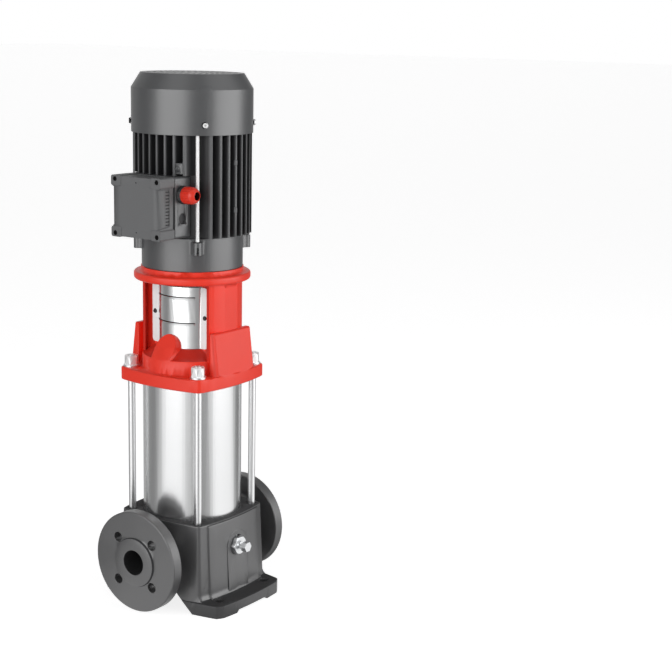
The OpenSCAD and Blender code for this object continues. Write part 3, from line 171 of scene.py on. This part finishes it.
def buildBrushed():
    tree, inside, out = newGroup("brushedLines", [
        ("Along", "NodeSocketVector", (1.0, 1.0, 1.0)), ("Fineness", "NodeSocketFloat", 900.0)],
        [("Lines", "NodeSocketFloat"), ("Tone", "NodeSocketFloat")])
    stretched = vectorNode(tree, "MULTIPLY", objectPlace(tree), inside.outputs["Along"])
    lines = addNode(tree, "ShaderNodeTexNoise", Detail=brushShape["detail"])
    tone = addNode(tree, "ShaderNodeTexNoise", Scale=brushShape["toneScale"], Detail=brushShape["toneDetail"])
    tree.links.new(inside.outputs["Fineness"], lines.inputs["Scale"])
    for noise, label in ((lines, "Lines"), (tone, "Tone")):
        tree.links.new(stretched, noise.inputs["Vector"])
        tree.links.new(noise.outputs["Fac"], out.inputs[label])
    return tree


dustShape = dict(scale=38.0, detail=4.0, gathering=4.0)


def buildDust():
    tree, inside, out = newGroup("settledDust", [("Spread", "NodeSocketFloat", 0.5)],
                                 [("Mask", "NodeSocketFloat")])
    split = addNode(tree, "ShaderNodeSeparateXYZ")
    tree.links.new(addNode(tree, "ShaderNodeNewGeometry").outputs["Normal"], split.inputs[0])
    patch = addNode(tree, "ShaderNodeTexNoise", Scale=dustShape["scale"], Detail=dustShape["detail"])
    tree.links.new(objectPlace(tree), patch.inputs["Vector"])
    upward = mathNode(tree, "POWER", mathNode(tree, "MAXIMUM", split.outputs["Z"], 0.0), dustShape["gathering"])
    broken = mathNode(tree, "MULTIPLY", upward, patch.outputs["Fac"])
    mask = mathNode(tree, "MULTIPLY", broken, inside.outputs["Spread"], clamp=True)
    tree.links.new(mask, out.inputs["Mask"])
    return tree


speckle, brushed, dust = buildSpeckle(), buildBrushed(), buildDust()


def useGroup(tree, group, **values):
    node = addNode(tree, "ShaderNodeGroup", dict(node_tree=group))
    for key, value in values.items():
        node.inputs[key].default_value = value
    return node


# kinds of finish
def startMaterial(name, look):
    material = bpy.data.materials.new(name)
    material.use_nodes = True
    tree = material.node_tree
    shader = tree.nodes["Principled BSDF"]
    shader.inputs["Base Color"].default_value = (*look["colour"], 1)
    shader.inputs["Roughness"].default_value = look["rough"]
    shader.inputs["Metallic"].default_value = look.get("metal", 0.0)
    shader.inputs["Specular IOR Level"].default_value = look.get("shine", 0.5)
    return material, tree, shader


bevelSamples = 6


def addBump(tree, shader, height, look):
    bump = addNode(tree, "ShaderNodeBump", Strength=1.0, Distance=look["relief"])
    tree.links.new(height, bump.inputs["Height"])
    if "softEdge" in look:
        rounded = addNode(tree, "ShaderNodeBevel", dict(samples=bevelSamples), Radius=look["softEdge"])
        tree.links.new(rounded.outputs[0], bump.inputs["Normal"])
    tree.links.new(bump.outputs[0], shader.inputs["Normal"])


def paintedMetal(name, look):
    material, tree, shader = startMaterial(name, look)
    grains = useGroup(tree, speckle, Colour=(*look["colour"], 1), Scale=look["grain"], Amount=look["mottle"])
    film = useGroup(tree, dust, Spread=look["dust"])
    dusty = mixColour(tree, film.outputs["Mask"], grains.outputs["Colour"], look["dustColour"])
    rough = swingAround(tree, grains.outputs["Rough"], look["roughSwing"], look["rough"])
    tree.links.new(dusty, shader.inputs["Base Color"])
    tree.links.new(rough, shader.inputs["Roughness"])
    addBump(tree, shader, grains.outputs["Height"], look)
    return material


def bareMetal(name, look):
    material, tree, shader = startMaterial(name, look)
    lines = useGroup(tree, brushed, Along=look["along"], Fineness=look["fineness"])
    tone = swingAround(tree, lines.outputs["Tone"], look["toneSwing"], 1.0)
    rough = swingAround(tree, lines.outputs["Lines"], look["roughSwing"], look["rough"])
    tree.links.new(vectorNode(tree, "SCALE", look["colour"], tone), shader.inputs["Base Color"])
    tree.links.new(rough, shader.inputs["Roughness"])
    addBump(tree, shader, lines.outputs["Lines"], look)
    return material


def plainStuff(name, look):
    material, tree, shader = startMaterial(name, look)
    grains = useGroup(tree, speckle, Colour=(*look["colour"], 1), Scale=look["grain"], Amount=look["mottle"])
    tree.links.new(grains.outputs["Colour"], shader.inputs["Base Color"])
    addBump(tree, shader, grains.outputs["Height"], look)
    return material


def laminatedSheet(name, look):
    material, tree, shader = startMaterial(name, look)
    bands = addNode(tree, "ShaderNodeTexWave", dict(bands_direction="Z"), Scale=look["sheets"])
    tree.links.new(objectPlace(tree), bands.inputs["Vector"])
    striped = mixColour(tree, bands.outputs["Fac"], look["dark"], look["colour"])
    tree.links.new(striped, shader.inputs["Base Color"])
    addBump(tree, shader, bands.outputs["Fac"], look)
    return material


def shadeBelow(material, along, low, high, colour):
    # darker up to a distance along some axes: (1, 1, 0) from the shaft, (0, 0, 1) from the floor
    tree = material.node_tree
    base = tree.nodes["Principled BSDF"].inputs["Base Color"]
    length = addNode(tree, "ShaderNodeVectorMath", dict(operation="LENGTH"))
    tree.links.new(vectorNode(tree, "MULTIPLY", objectPlace(tree), along), length.inputs[0])
    span = addNode(tree, "ShaderNodeMapRange", From_Min=low, From_Max=high)
    tree.links.new(length.outputs["Value"], span.inputs["Value"])
    tree.links.new(mixColour(tree, span.outputs["Result"], colour, base.links[0].from_socket), base)
    return material


# one finish for each material slot
paleDust = (0.42, 0.41, 0.39)
castPaint = dict(colour=(0.064, 0.064, 0.066), rough=0.38, grain=1500.0, mottle=0.10, dust=0.05,
                 dustColour=paleDust, roughSwing=0.10, relief=0.00012, softEdge=0.0018, shine=1.3)
motorPaint = dict(colour=(0.072, 0.074, 0.077), rough=0.33, grain=2400.0, mottle=0.05, dust=0.06,
                  dustColour=paleDust, roughSwing=0.06, relief=0.00003, softEdge=0.0007, shine=1.1)
redPaint = dict(colour=(0.980, 0.042, 0.018), rough=0.38, grain=1500.0, mottle=0.06, dust=0.03,
                dustColour=(0.75, 0.32, 0.28), roughSwing=0.08, relief=0.00007, softEdge=0.0010, shine=0.5)
turnedGrain = (0.03, 0.03, 1.0)
evenGrain = (1.0, 1.0, 1.0)
drawnGrain = (1.0, 1.0, 0.05)
finishes = {
    "cast_grey": (paintedMetal, castPaint),
    "motor_paint": (paintedMetal, motorPaint),
    "stool_red": (paintedMetal, redPaint),
    "stainless": (bareMetal, dict(colour=(0.86, 0.865, 0.87), rough=0.23, metal=1.0, along=turnedGrain,
                                  fineness=420.0, toneSwing=0.04, roughSwing=0.06, relief=0.000006)),
    "zinc_steel": (bareMetal, dict(colour=(0.80, 0.81, 0.82), rough=0.34, metal=1.0, along=evenGrain,
                                   fineness=160.0, toneSwing=0.14, roughSwing=0.14, relief=0.00002,
                                   softEdge=0.0004)),
    "black_steel": (bareMetal, dict(colour=(0.045, 0.045, 0.048), rough=0.38, metal=0.6, along=evenGrain,
                                    fineness=300.0, toneSwing=0.2, roughSwing=0.12, relief=0.00002,
                                    softEdge=0.0003)),
    "coupling_steel": (bareMetal, dict(colour=(0.46, 0.465, 0.47), rough=0.34, metal=1.0, along=turnedGrain,
                                       fineness=500.0, toneSwing=0.16, roughSwing=0.14, relief=0.00003)),
    "laminations": (laminatedSheet, dict(colour=(0.42, 0.42, 0.43), dark=(0.18, 0.18, 0.19), rough=0.45,
                                         metal=0.9, sheets=300.0, relief=0.0001)),
    "copper_wire": (bareMetal, dict(colour=(0.66, 0.26, 0.11), rough=0.32, metal=0.9, along=turnedGrain,
                                    fineness=700.0, toneSwing=0.35, roughSwing=0.12, relief=0.0003)),
    "brass": (bareMetal, dict(colour=(0.72, 0.50, 0.18), rough=0.28, metal=1.0, along=evenGrain,
                              fineness=300.0, toneSwing=0.12, roughSwing=0.1, relief=0.00002)),
    "black_plastic": (plainStuff, dict(colour=(0.018, 0.018, 0.020), rough=0.42, grain=2200.0, mottle=0.12,
                                       relief=0.00003)),
    "red_plastic": (plainStuff, dict(colour=(0.860, 0.040, 0.018), rough=0.30, grain=1800.0, mottle=0.05,
                                     relief=0.00002)),
    "rubber": (plainStuff, dict(colour=(0.014, 0.014, 0.015), rough=0.70, grain=1500.0, mottle=0.15,
                                relief=0.00005)),
    "carbon": (plainStuff, dict(colour=(0.035, 0.035, 0.038), rough=0.30, grain=900.0, mottle=0.15,
                                relief=0.00002)),
}
materials = {slot: make(slot + "Finish", look) for slot, (make, look) in finishes.items()}

for name, node in nodes.items():
    node.data.materials.clear()
    node.data.materials.append(materials[slotOf[name]])
print("finishes on", len(nodes), "nodes")


# dressed copies: merged, smooth across curves, flat where flat
dressing = dict(mergeWithin=2e-6, smoothAngle=24.0)


def placeInScene(name, mesh):
    piece = bpy.data.objects.new(name, mesh)
    bpy.context.collection.objects.link(piece)
    return piece


def asPlainMesh(piece):
    # bakes the modifiers into a plain mesh, so that nothing stays live
    shape = piece.evaluated_get(bpy.context.evaluated_depsgraph_get())
    mesh = bpy.data.meshes.new_from_object(shape)
    piece.modifiers.clear()
    piece.data = mesh
    return piece


def dressedCopy(name, finish):
    mesh = bpy.data.meshes.new(name + "Dressed")
    form = bmesh.new()
    form.from_mesh(nodes[name].data)
    bmesh.ops.remove_doubles(form, verts=form.verts, dist=dressing["mergeWithin"])
    for face in form.faces:
        face.smooth = True
    form.to_mesh(mesh)
    form.free()
    mesh.set_sharp_from_angle(angle=math.radians(dressing["smoothAngle"]))
    mesh.materials.clear()
    mesh.materials.append(finish)
    piece = placeInScene(name + "Dressed", mesh)
    weighted = piece.modifiers.new("evenShading", "WEIGHTED_NORMAL")
    weighted.keep_sharp = True
    weighted.mode = "FACE_AREA"
    asPlainMesh(piece)
    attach(piece, bodyOf[name])
    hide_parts(name)
    return piece


# painted highlight and painted shade on the fins: a lighter, duller copy of the motor paint stands in for their
# lit edges, and the valleys between them are painted darker towards the shaft
finHighlightLook = dict(motorPaint, shine=0.35, colour=(0.142, 0.144, 0.148))
finValleyShade = dict(along=(1, 1, 0), low=0.0776, high=0.0803, colour=(0.036, 0.036, 0.038))
lidLook = dict(motorPaint, rough=0.55, shine=0.5, colour=(0.140, 0.142, 0.145))
brightLook = dict(colour=(0.90, 0.90, 0.90), rough=0.55, metal=0.55, along=drawnGrain, fineness=300.0,
                  toneSwing=0.04, roughSwing=0.08, relief=0.00001)
boltSeat = dict(along=(0, 0, 1), low=0.5130, high=0.5136, colour=(0.08, 0.08, 0.082))
rodLook = dict(brightLook, colour=(0.88, 0.885, 0.89), rough=0.30, metal=1.0)
blackLook = dict(colour=(0.006, 0.006, 0.006), rough=0.8, shine=0.1, grain=1500.0, mottle=0.15,
                 relief=0.00005)
# plain black for the lid screws, also used as painted shade in the lid's dot holes, the cable entry and round
# the sides of the fan cover screws
blackAndPaintedShade = plainStuff("blackAndPaintedShade", blackLook)
own = {
    "lid_screws": blackAndPaintedShade,
    "tie_rod_nuts": bareMetal("nutZinc", dict(brightLook, rough=0.40, metal=0.75)),
    "stator_frame": shadeBelow(paintedMetal("finLitAndShadedPaint", finHighlightLook), **finValleyShade),
    "terminal_lid": paintedMetal("lidPaint", lidLook),
    "motor_tie_bolts": shadeBelow(bareMetal("tieZinc", brightLook), **boltSeat),
    "fan_cover_screws": bareMetal("brightZinc", brightLook),
    "tie_rods": bareMetal("drawnRod", rodLook),
}
dressed = {name: dressedCopy(name, own.get(name, materials[slotOf[name]])) for name in nodes}
print("dressed copies:", len(dressed))


# second finishes, on faces that a test picks by their middle and their normal: painted shade on most of them, a
# painted highlight on the guard tabs
def between(value, limits):
    return limits[0] < value < limits[1]


def paintWhere(name, finish, test):
    mesh = dressed[name].data
    mesh.materials.append(finish)
    for face in mesh.polygons:
        if test(face.center, face.normal):
            face.material_index = len(mesh.materials) - 1


port = dict(height=0.075, bore=0.0187, boreEnd=0.1249, stepFrom=0.1219, stepSlant=0.6, step=(0.030, 0.036))
# painted shade: the port bore is painted nearly black, for the shadow deep inside it
borePaintedShade = plainStuff("boreShadePaint", dict(colour=(0.022, 0.022, 0.023), rough=0.6, grain=600.0, mottle=0.3,
                                      relief=0.0002))


def fromPort(middle):
    return math.hypot(middle.x, middle.z - port["height"])


def onBore(middle, normal):
    return fromPort(middle) < port["bore"] and abs(middle.y) < port["boreEnd"]


casting = dict(half=0.1, flat=0.9, deckFrom=0.120, footTop=(0.010, 0.028), fillet=(0.0165, 0.0215),
               filletRise=0.55, footSideTo=0.0184, upright=0.3, panelHalf=0.022, panelFrom=0.077)
# painted shade: the deck and foot tops, the lowest fillet facets, the wall round the raised face of the port
# and the side walls of the panel get a darker, duller copy of the cast paint
shelfPaintedShade = paintedMetal("shelfPaintedShade", dict(castPaint, colour=(0.034, 0.034, 0.036), rough=0.75, shine=0.3))
# painted shade: a slightly darker, less shiny copy of the cast paint on the upright sides of the feet
footPaintedShade = paintedMetal("footPaintedShade", dict(castPaint, colour=(0.060, 0.060, 0.062), shine=0.6))


# picks the faces that get the painted shade
def onShelf(middle, normal):
    inBody = abs(middle.y) < casting["half"]
    high = middle.z > casting["deckFrom"] or between(middle.z, casting["footTop"])
    deck = inBody and high and normal.z > casting["flat"]
    fillet = inBody and between(middle.z, casting["fillet"]) and normal.z > casting["filletRise"]
    step = (abs(middle.y) > port["stepFrom"] and abs(normal.y) < port["stepSlant"]
            and between(fromPort(middle), port["step"]))
    panelSide = (abs(normal.y) > casting["flat"] and abs(middle.y) < casting["panelHalf"]
                 and middle.x > casting["panelFrom"])
    return deck or fillet or step or panelSide


# picks the foot sides that get the painted shade
def onFootSide(middle, normal):
    return (middle.z < casting["footSideTo"] and abs(middle.y) < casting["half"]
            and abs(normal.z) < casting["upright"])


window = dict(heights=(0.329, 0.452), wall=0.069, sideways=0.95, cheekFrom=0.045, flat=0.9, inward=-0.02,
              shoulderRise=(0.78, 0.83), shoulderHeights=(0.349, 0.362))
# painted shade: a darker copy of the red paint on the window cheeks, the faces turned inward, the flat floors
# and the shoulders inside the stool's window
windowShadeRed = paintedMetal("windowShadeRed", dict(redPaint, colour=(0.640, 0.025, 0.012), shine=0.3))


# picks the faces inside the stool's window that get the painted shade
def onWindow(middle, normal):
    if not between(middle.z, window["heights"]) or math.hypot(middle.x, middle.y) >= window["wall"]:
        return False
    cheek = abs(normal.y) > window["sideways"] and abs(middle.x) > window["cheekFrom"]
    inside = normal.x * middle.x + normal.y * middle.y < window["inward"]
    shoulder = (between(normal.z, window["shoulderRise"])
                and between(middle.z, window["shoulderHeights"]))
    return cheek or normal.z > window["flat"] or inside or shoulder


lid = dict(ribs=(0.0392, 0.0402), ribHeights=(0.531, 0.588), sideways=0.9, centre=0.55925, dotAway=0.0325,
           dotReach=0.0012, front=-0.1128)
# painted shade in the finger grip of the terminal lid: the rib sides are painted dark
ribPaintedShade = plainStuff("ribPaintedShade", dict(colour=(0.032, 0.032, 0.033), rough=0.7, grain=1500.0, mottle=0.1,
                                       relief=0.0001))


def onRibs(middle, normal):
    return (abs(normal.x) > lid["sideways"] and between(abs(middle.x), lid["ribs"])
            and between(middle.z, lid["ribHeights"]))


# painted shade: the faces of the two small dot holes in the lid are painted black
def onDots(middle, normal):
    away = math.hypot(middle.x, abs(middle.z - lid["centre"]) - lid["dotAway"])
    return away < lid["dotReach"] and middle.y < lid["front"]


gland = dict(place=(-0.0718, 0.57625), reach=0.0062, slant=0.5)
entry = dict(place=(-0.0703, 0.5446), reach=0.0073, fromX=0.037)
# painted shade: the bore of the gland nut is painted a near black red
glandBoreShade = plainStuff("glandBoreShade", dict(blackLook, colour=(0.060, 0.003, 0.002)))


def inGland(middle, normal):
    return math.dist((middle.y, middle.z), gland["place"]) < gland["reach"] and abs(normal.x) < gland["slant"]


# painted shade: the walls of the cable entry on the terminal box are painted black
def inEntry(middle, normal):
    return math.dist((middle.y, middle.z), entry["place"]) < entry["reach"] and middle.x > entry["fromX"]


screwSlant = 0.5
tab = dict(fromX=0.0375, front=0.027, within=0.0006)
# painted highlight: the flat tabs of the guard get a matte, nearly white copy of the bright steel, tinted cool
# against the red light bounced from the stool
tabHighlight = bareMetal("guardTabHighlight", dict(brightLook, colour=(0.94, 0.99, 0.99), rough=0.6, metal=0.0))


# painted shadow: the sides of the fan cover screw heads are painted black, for the shadow ring round each head
def onScrewSide(middle, normal):
    outward = abs(normal.x * middle.x + normal.y * middle.y)
    return outward < screwSlant * math.hypot(middle.x, middle.y)


def onTab(middle, normal):
    return abs(middle.x) > tab["fromX"] and abs(abs(middle.y) - tab["front"]) < tab["within"]


for name, finish, test in (
        ("base_casting", borePaintedShade, onBore), ("base_casting", shelfPaintedShade, onShelf),
        ("base_casting", footPaintedShade, onFootSide), ("motor_stool", windowShadeRed, onWindow),
        ("terminal_lid", ribPaintedShade, onRibs), ("terminal_lid", blackAndPaintedShade, onDots),
        ("gland_nut", glandBoreShade, inGland), ("terminal_box", blackAndPaintedShade, inEntry),
        ("fan_cover_screws", blackAndPaintedShade, onScrewSide), ("guard_front", tabHighlight, onTab),
        ("guard_rear", tabHighlight, onTab)):
    paintWhere(name, finish, test)
print("second finishes painted")


# repeated small forms, grown by node trees
def newTree(name, inputs):
    tree = bpy.data.node_groups.new(name, "GeometryNodeTree")
    tree.interface.new_socket("Geometry", in_out="INPUT", socket_type="NodeSocketGeometry")
    for label, kind, value in inputs:
        socket = tree.interface.new_socket(label, in_out="INPUT", socket_type=kind)
        if value is not None:
            socket.default_value = value
    tree.interface.new_socket("Geometry", in_out="OUTPUT", socket_type="NodeSocketGeometry")
    return tree, tree.nodes.new("NodeGroupInput"), tree.nodes.new("NodeGroupOutput")


def endTree(tree, inside, out, geometry):
    # every tree ends in real geometry with its finish set
    solid = tree.nodes.new("GeometryNodeRealizeInstances")
    coated = tree.nodes.new("GeometryNodeSetMaterial")
    tree.links.new(geometry, solid.inputs[0])
    tree.links.new(solid.outputs[0], coated.inputs["Geometry"])
    tree.links.new(inside.outputs["Finish"], coated.inputs["Material"])
    tree.links.new(coated.outputs[0], out.inputs[0])


smoothness = dict(spiral=36, hole=12, section=4)


def buildThreadTree():
    tree, inside, out = newTree("threadTurns", [
        ("Radius", "NodeSocketFloat", 0.005), ("Depth", "NodeSocketFloat", 0.0004),
        ("Length", "NodeSocketFloat", 0.004), ("Turns", "NodeSocketFloat", 3.0),
        ("Finish", "NodeSocketMaterial", None)])
    spiral = addNode(tree, "GeometryNodeCurveSpiral", Resolution=smoothness["spiral"])
    ridge = addNode(tree, "GeometryNodeCurvePrimitiveCircle", Resolution=smoothness["section"])
    sweep = addNode(tree, "GeometryNodeCurveToMesh", Fill_Caps=True)
    for end in ("Start Radius", "End Radius"):
        tree.links.new(inside.outputs["Radius"], spiral.inputs[end])
    tree.links.new(inside.outputs["Length"], spiral.inputs["Height"])
    tree.links.new(inside.outputs["Turns"], spiral.inputs["Rotations"])
    tree.links.new(inside.outputs["Depth"], ridge.inputs["Radius"])
    tree.links.new(spiral.outputs[0], sweep.inputs["Curve"])
    tree.links.new(ridge.outputs[0], sweep.inputs["Profile Curve"])
    endTree(tree, inside, out, sweep.outputs[0])
    return tree


def buildRimTree():
    tree, inside, out = newTree("holeRims", [
        ("Ring Radius", "NodeSocketFloat", 0.02), ("Holes", "NodeSocketInt", 12),
        ("Hole Radius", "NodeSocketFloat", 0.0023), ("Lip", "NodeSocketFloat", 0.0003),
        ("Finish", "NodeSocketMaterial", None)])
    places = addNode(tree, "GeometryNodeMeshCircle")
    edge = addNode(tree, "GeometryNodeCurvePrimitiveCircle", Resolution=smoothness["hole"])
    lip = addNode(tree, "GeometryNodeCurvePrimitiveCircle", Resolution=smoothness["section"])
    sweep = addNode(tree, "GeometryNodeCurveToMesh")
    put = addNode(tree, "GeometryNodeInstanceOnPoints")
    tree.links.new(inside.outputs["Holes"], places.inputs["Vertices"])
    tree.links.new(inside.outputs["Ring Radius"], places.inputs["Radius"])
    tree.links.new(inside.outputs["Hole Radius"], edge.inputs["Radius"])
    tree.links.new(inside.outputs["Lip"], lip.inputs["Radius"])
    tree.links.new(edge.outputs[0], sweep.inputs["Curve"])
    tree.links.new(lip.outputs[0], sweep.inputs["Profile Curve"])
    tree.links.new(places.outputs[0], put.inputs["Points"])
    tree.links.new(sweep.outputs[0], put.inputs["Instance"])
    endTree(tree, inside, out, put.outputs[0])
    return tree


def grow(tree, **values):
    # runs one tree and returns its result as a plain mesh
    holder = placeInScene(tree.name, bpy.data.meshes.new(tree.name))
    modifier = holder.modifiers.new(tree.name, "NODES")
    modifier.node_group = tree
    for item in tree.interface.items_tree:
        key = item.name.replace(" ", "")
        if item.in_out == "INPUT" and key in values:
            modifier[item.identifier] = values[key]
    asPlainMesh(holder)
    mesh = holder.data
    bpy.data.objects.remove(holder)
    return mesh


def joinPieces(name, placed, body, slotName):
    # placed: meshes with the matrix that puts each one in the frame
    form = bmesh.new()
    for mesh, matrix in placed:
        start = len(form.verts)
        form.from_mesh(mesh)
        form.verts.ensure_lookup_table()
        bmesh.ops.transform(form, matrix=matrix, verts=form.verts[start:])
    bmesh.ops.recalc_face_normals(form, faces=form.faces)
    mesh = bpy.data.meshes.new(name)
    form.to_mesh(mesh)
    form.free()
    mesh.materials.append(materials[slotName])
    piece = placeInScene(name, mesh)
    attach(piece, body)
    return piece


threadTree, rimTree = buildThreadTree(), buildRimTree()

# threads on the free ends of the four tie rods
rodThread = dict(radius=0.0048, depth=0.00035, length=0.0035, turns=2.5, below=0.0042, away=0.0595)
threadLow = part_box("tie_rods")[1][2] - rodThread["below"]
turnsMesh = grow(threadTree, Radius=rodThread["radius"], Depth=rodThread["depth"], Length=rodThread["length"],
                 Turns=rodThread["turns"], Finish=materials["zinc_steel"])
threads = [(turnsMesh, Matrix.Translation((x * rodThread["away"], y * rodThread["away"], threadLow)))
           for x in (-1, 1) for y in (-1, 1)]
joinPieces("rodThreads", threads, "root", "zinc_steel")
print("rod threads grown")

# pressed rims round the holes in the top of the fan cover
grille = dict(rings=(0.017, 0.0255, 0.034, 0.0425, 0.051, 0.0595), spacing=0.0086, holeRadius=0.0024,
              lip=0.00028, sink=0.0002)
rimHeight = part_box("fan_cover")[1][2] - grille["sink"] - grille["lip"] / 2
rims = []
for ringRadius in grille["rings"]:
    holes = math.floor(2 * math.pi * ringRadius / grille["spacing"])
    rim = grow(rimTree, RingRadius=ringRadius, Holes=holes, HoleRadius=grille["holeRadius"], Lip=grille["lip"],
               Finish=materials["motor_paint"])
    rims.append((rim, Matrix.Translation((0, 0, rimHeight))))
joinPieces("grilleRims", rims, "root", "motor_paint")
print("grille rims grown")


# floor, light and camera
studio = dict(floorHalf=30.0, floorColour=(0.64, 0.64, 0.645), floorRough=0.7, floorShine=0.2, floorGlow=0.80,
              fillLow=0.60, fillHigh=0.08, fillTop=0.8, background=1.0)
camera = dict(azimuth=39.88, away=2.0748, height=0.8036, pitch=11.79, focalPixels=1526.3, axisPixel=192.4,
              imagePixels=672, sensor=36.0, sight=200.0)

# what shiny surfaces see all round: white boards with grey gaps, by compass angle from the camera
boards = [(-180, 0.80), (-160, 0.62), (-146, 0.36), (-130, 0.46), (-114, 0.26), (-94, 0.22), (-78, 0.55),
          (-62, 1.0), (-28, 1.0), (-6, 0.55), (14, 0.31), (30, 0.34), (54, 1.0), (98, 0.96), (122, 0.20),
          (150, 0.20), (166, 0.60), (180, 0.80)]


def boardTone(tree, direction):
    split = addNode(tree, "ShaderNodeSeparateXYZ")
    tree.links.new(direction, split.inputs[0])
    behind = mathNode(tree, "MULTIPLY", split.outputs["Y"], -1.0)
    turn = mathNode(tree, "ARCTAN2", split.outputs["X"], behind)
    # a share of the whole turn: 0.5 is where the camera stands
    share = mathNode(tree, "MULTIPLY_ADD", turn, 0.5 / math.pi, 1.5 - camera["azimuth"] / 360)
    stops = [(angle / 360 + 0.5, tone) for angle, tone in boards]
    return rampNode(tree, mathNode(tree, "FRACT", share), stops, "EASE")


def shinyRay(tree, path):
    return mathNode(tree, "MAXIMUM", path.outputs["Is Glossy Ray"], path.outputs["Is Transmission Ray"])


def buildFloor():
    half = studio["floorHalf"]
    mesh = bpy.data.meshes.new("floor")
    corners = [(-half, -half, 0), (half, -half, 0), (half, half, 0), (-half, half, 0)]
    mesh.from_pydata(corners, [], [(0, 1, 2, 3)])
    floor = placeInScene("floor", mesh)
    material, tree, shader = startMaterial("floorPaint", dict(
        colour=studio["floorColour"], rough=studio["floorRough"], shine=studio["floorShine"]))
    # nearly white to the camera, with the object's shadow; metal sees the boards that stand round it
    path = addNode(tree, "ShaderNodeLightPath")
    shader.inputs["Emission Color"].default_value = (1, 1, 1, 1)
    tree.links.new(mathNode(tree, "MULTIPLY", path.outputs["Is Camera Ray"], studio["floorGlow"]),
                   shader.inputs["Emission Strength"])
    glow = addNode(tree, "ShaderNodeEmission")
    tree.links.new(boardTone(tree, objectPlace(tree)), glow.inputs["Color"])
    blend = addNode(tree, "ShaderNodeMixShader")
    tree.links.new(shinyRay(tree, path), blend.inputs["Fac"])
    tree.links.new(shader.outputs[0], blend.inputs[1])
    tree.links.new(glow.outputs[0], blend.inputs[2])
    tree.links.new(blend.outputs[0], tree.nodes["Material Output"].inputs["Surface"])
    mesh.materials.append(material)


def buildWorld():
    world = bpy.data.worlds.new("studio")
    bpy.context.scene.world = world
    world.use_nodes = True
    tree = world.node_tree
    direction = addNode(tree, "ShaderNodeTexCoord").outputs["Generated"]
    split = addNode(tree, "ShaderNodeSeparateXYZ")
    tree.links.new(direction, split.inputs[0])
    path = addNode(tree, "ShaderNodeLightPath")
    rise = mathNode(tree, "MAXIMUM", split.outputs["Z"], 0.0)
    fill = rampNode(tree, rise, [(0.0, studio["fillLow"]), (studio["fillTop"], studio["fillHigh"])])
    seen = mixColour(tree, shinyRay(tree, path), fill, boardTone(tree, direction))
    white = (studio["background"],) * 3
    tree.links.new(mixColour(tree, path.outputs["Is Camera Ray"], seen, white),
                   tree.nodes["Background"].inputs["Color"])


softbox = dict(wide=2.6, high=1.7, away=2.3)


def addSoftbox(name, turn, rise, power):
    data = bpy.data.lights.new(name, "AREA")
    data.shape = "RECTANGLE"
    data.size, data.size_y, data.energy = softbox["wide"], softbox["high"], power
    light = placeInScene(name, data)
    azimuth, elevation = math.radians(camera["azimuth"] + turn), math.radians(rise)
    level = Vector((math.sin(azimuth), -math.cos(azimuth), 0))
    toward = level * math.cos(elevation) + Vector((0, 0, math.sin(elevation)))
    middle = Vector((0, 0, (restBox[0].z + restBox[1].z) / 2))
    light.location = middle + toward * softbox["away"]
    light.rotation_euler = (-toward).to_track_quat("-Z", "Y").to_euler()


def addCamera():
    azimuth, pitch = math.radians(camera["azimuth"]), math.radians(camera["pitch"])
    side = math.asin((camera["imagePixels"] / 2 - camera["axisPixel"]) / camera["focalPixels"])
    level = Vector((-math.sin(azimuth), math.cos(azimuth), 0))
    right = Vector((math.cos(azimuth), math.sin(azimuth), 0))
    up = level * math.sin(pitch) + Vector((0, 0, math.cos(pitch)))
    ahead = level * math.cos(pitch) - Vector((0, 0, math.sin(pitch)))
    # the aim turns about the camera's own up, so that the shaft stays upright left of the middle
    aim = ahead * math.cos(side) + right * math.sin(side)
    across = right * math.cos(side) - ahead * math.sin(side)
    data = bpy.data.cameras.new("camera")
    data.sensor_width = camera["sensor"]
    data.lens = camera["sensor"] * camera["focalPixels"] * math.cos(side) / camera["imagePixels"]
    data.clip_end = camera["sight"]
    taker = placeInScene("camera", data)
    place = -level * camera["away"] + Vector((0, 0, camera["height"]))
    taker.matrix_world = Matrix.Translation(place) @ Matrix((across, up, -aim)).transposed().to_4x4()
    bpy.context.scene.camera = taker


buildFloor()
buildWorld()
addSoftbox("softboxLeft", turn=-38, rise=12, power=27)
addSoftbox("softboxRight", turn=70, rise=10, power=29)
addCamera()
bpy.context.scene.view_settings.view_transform = "Standard"
print("stage, lights and camera set")
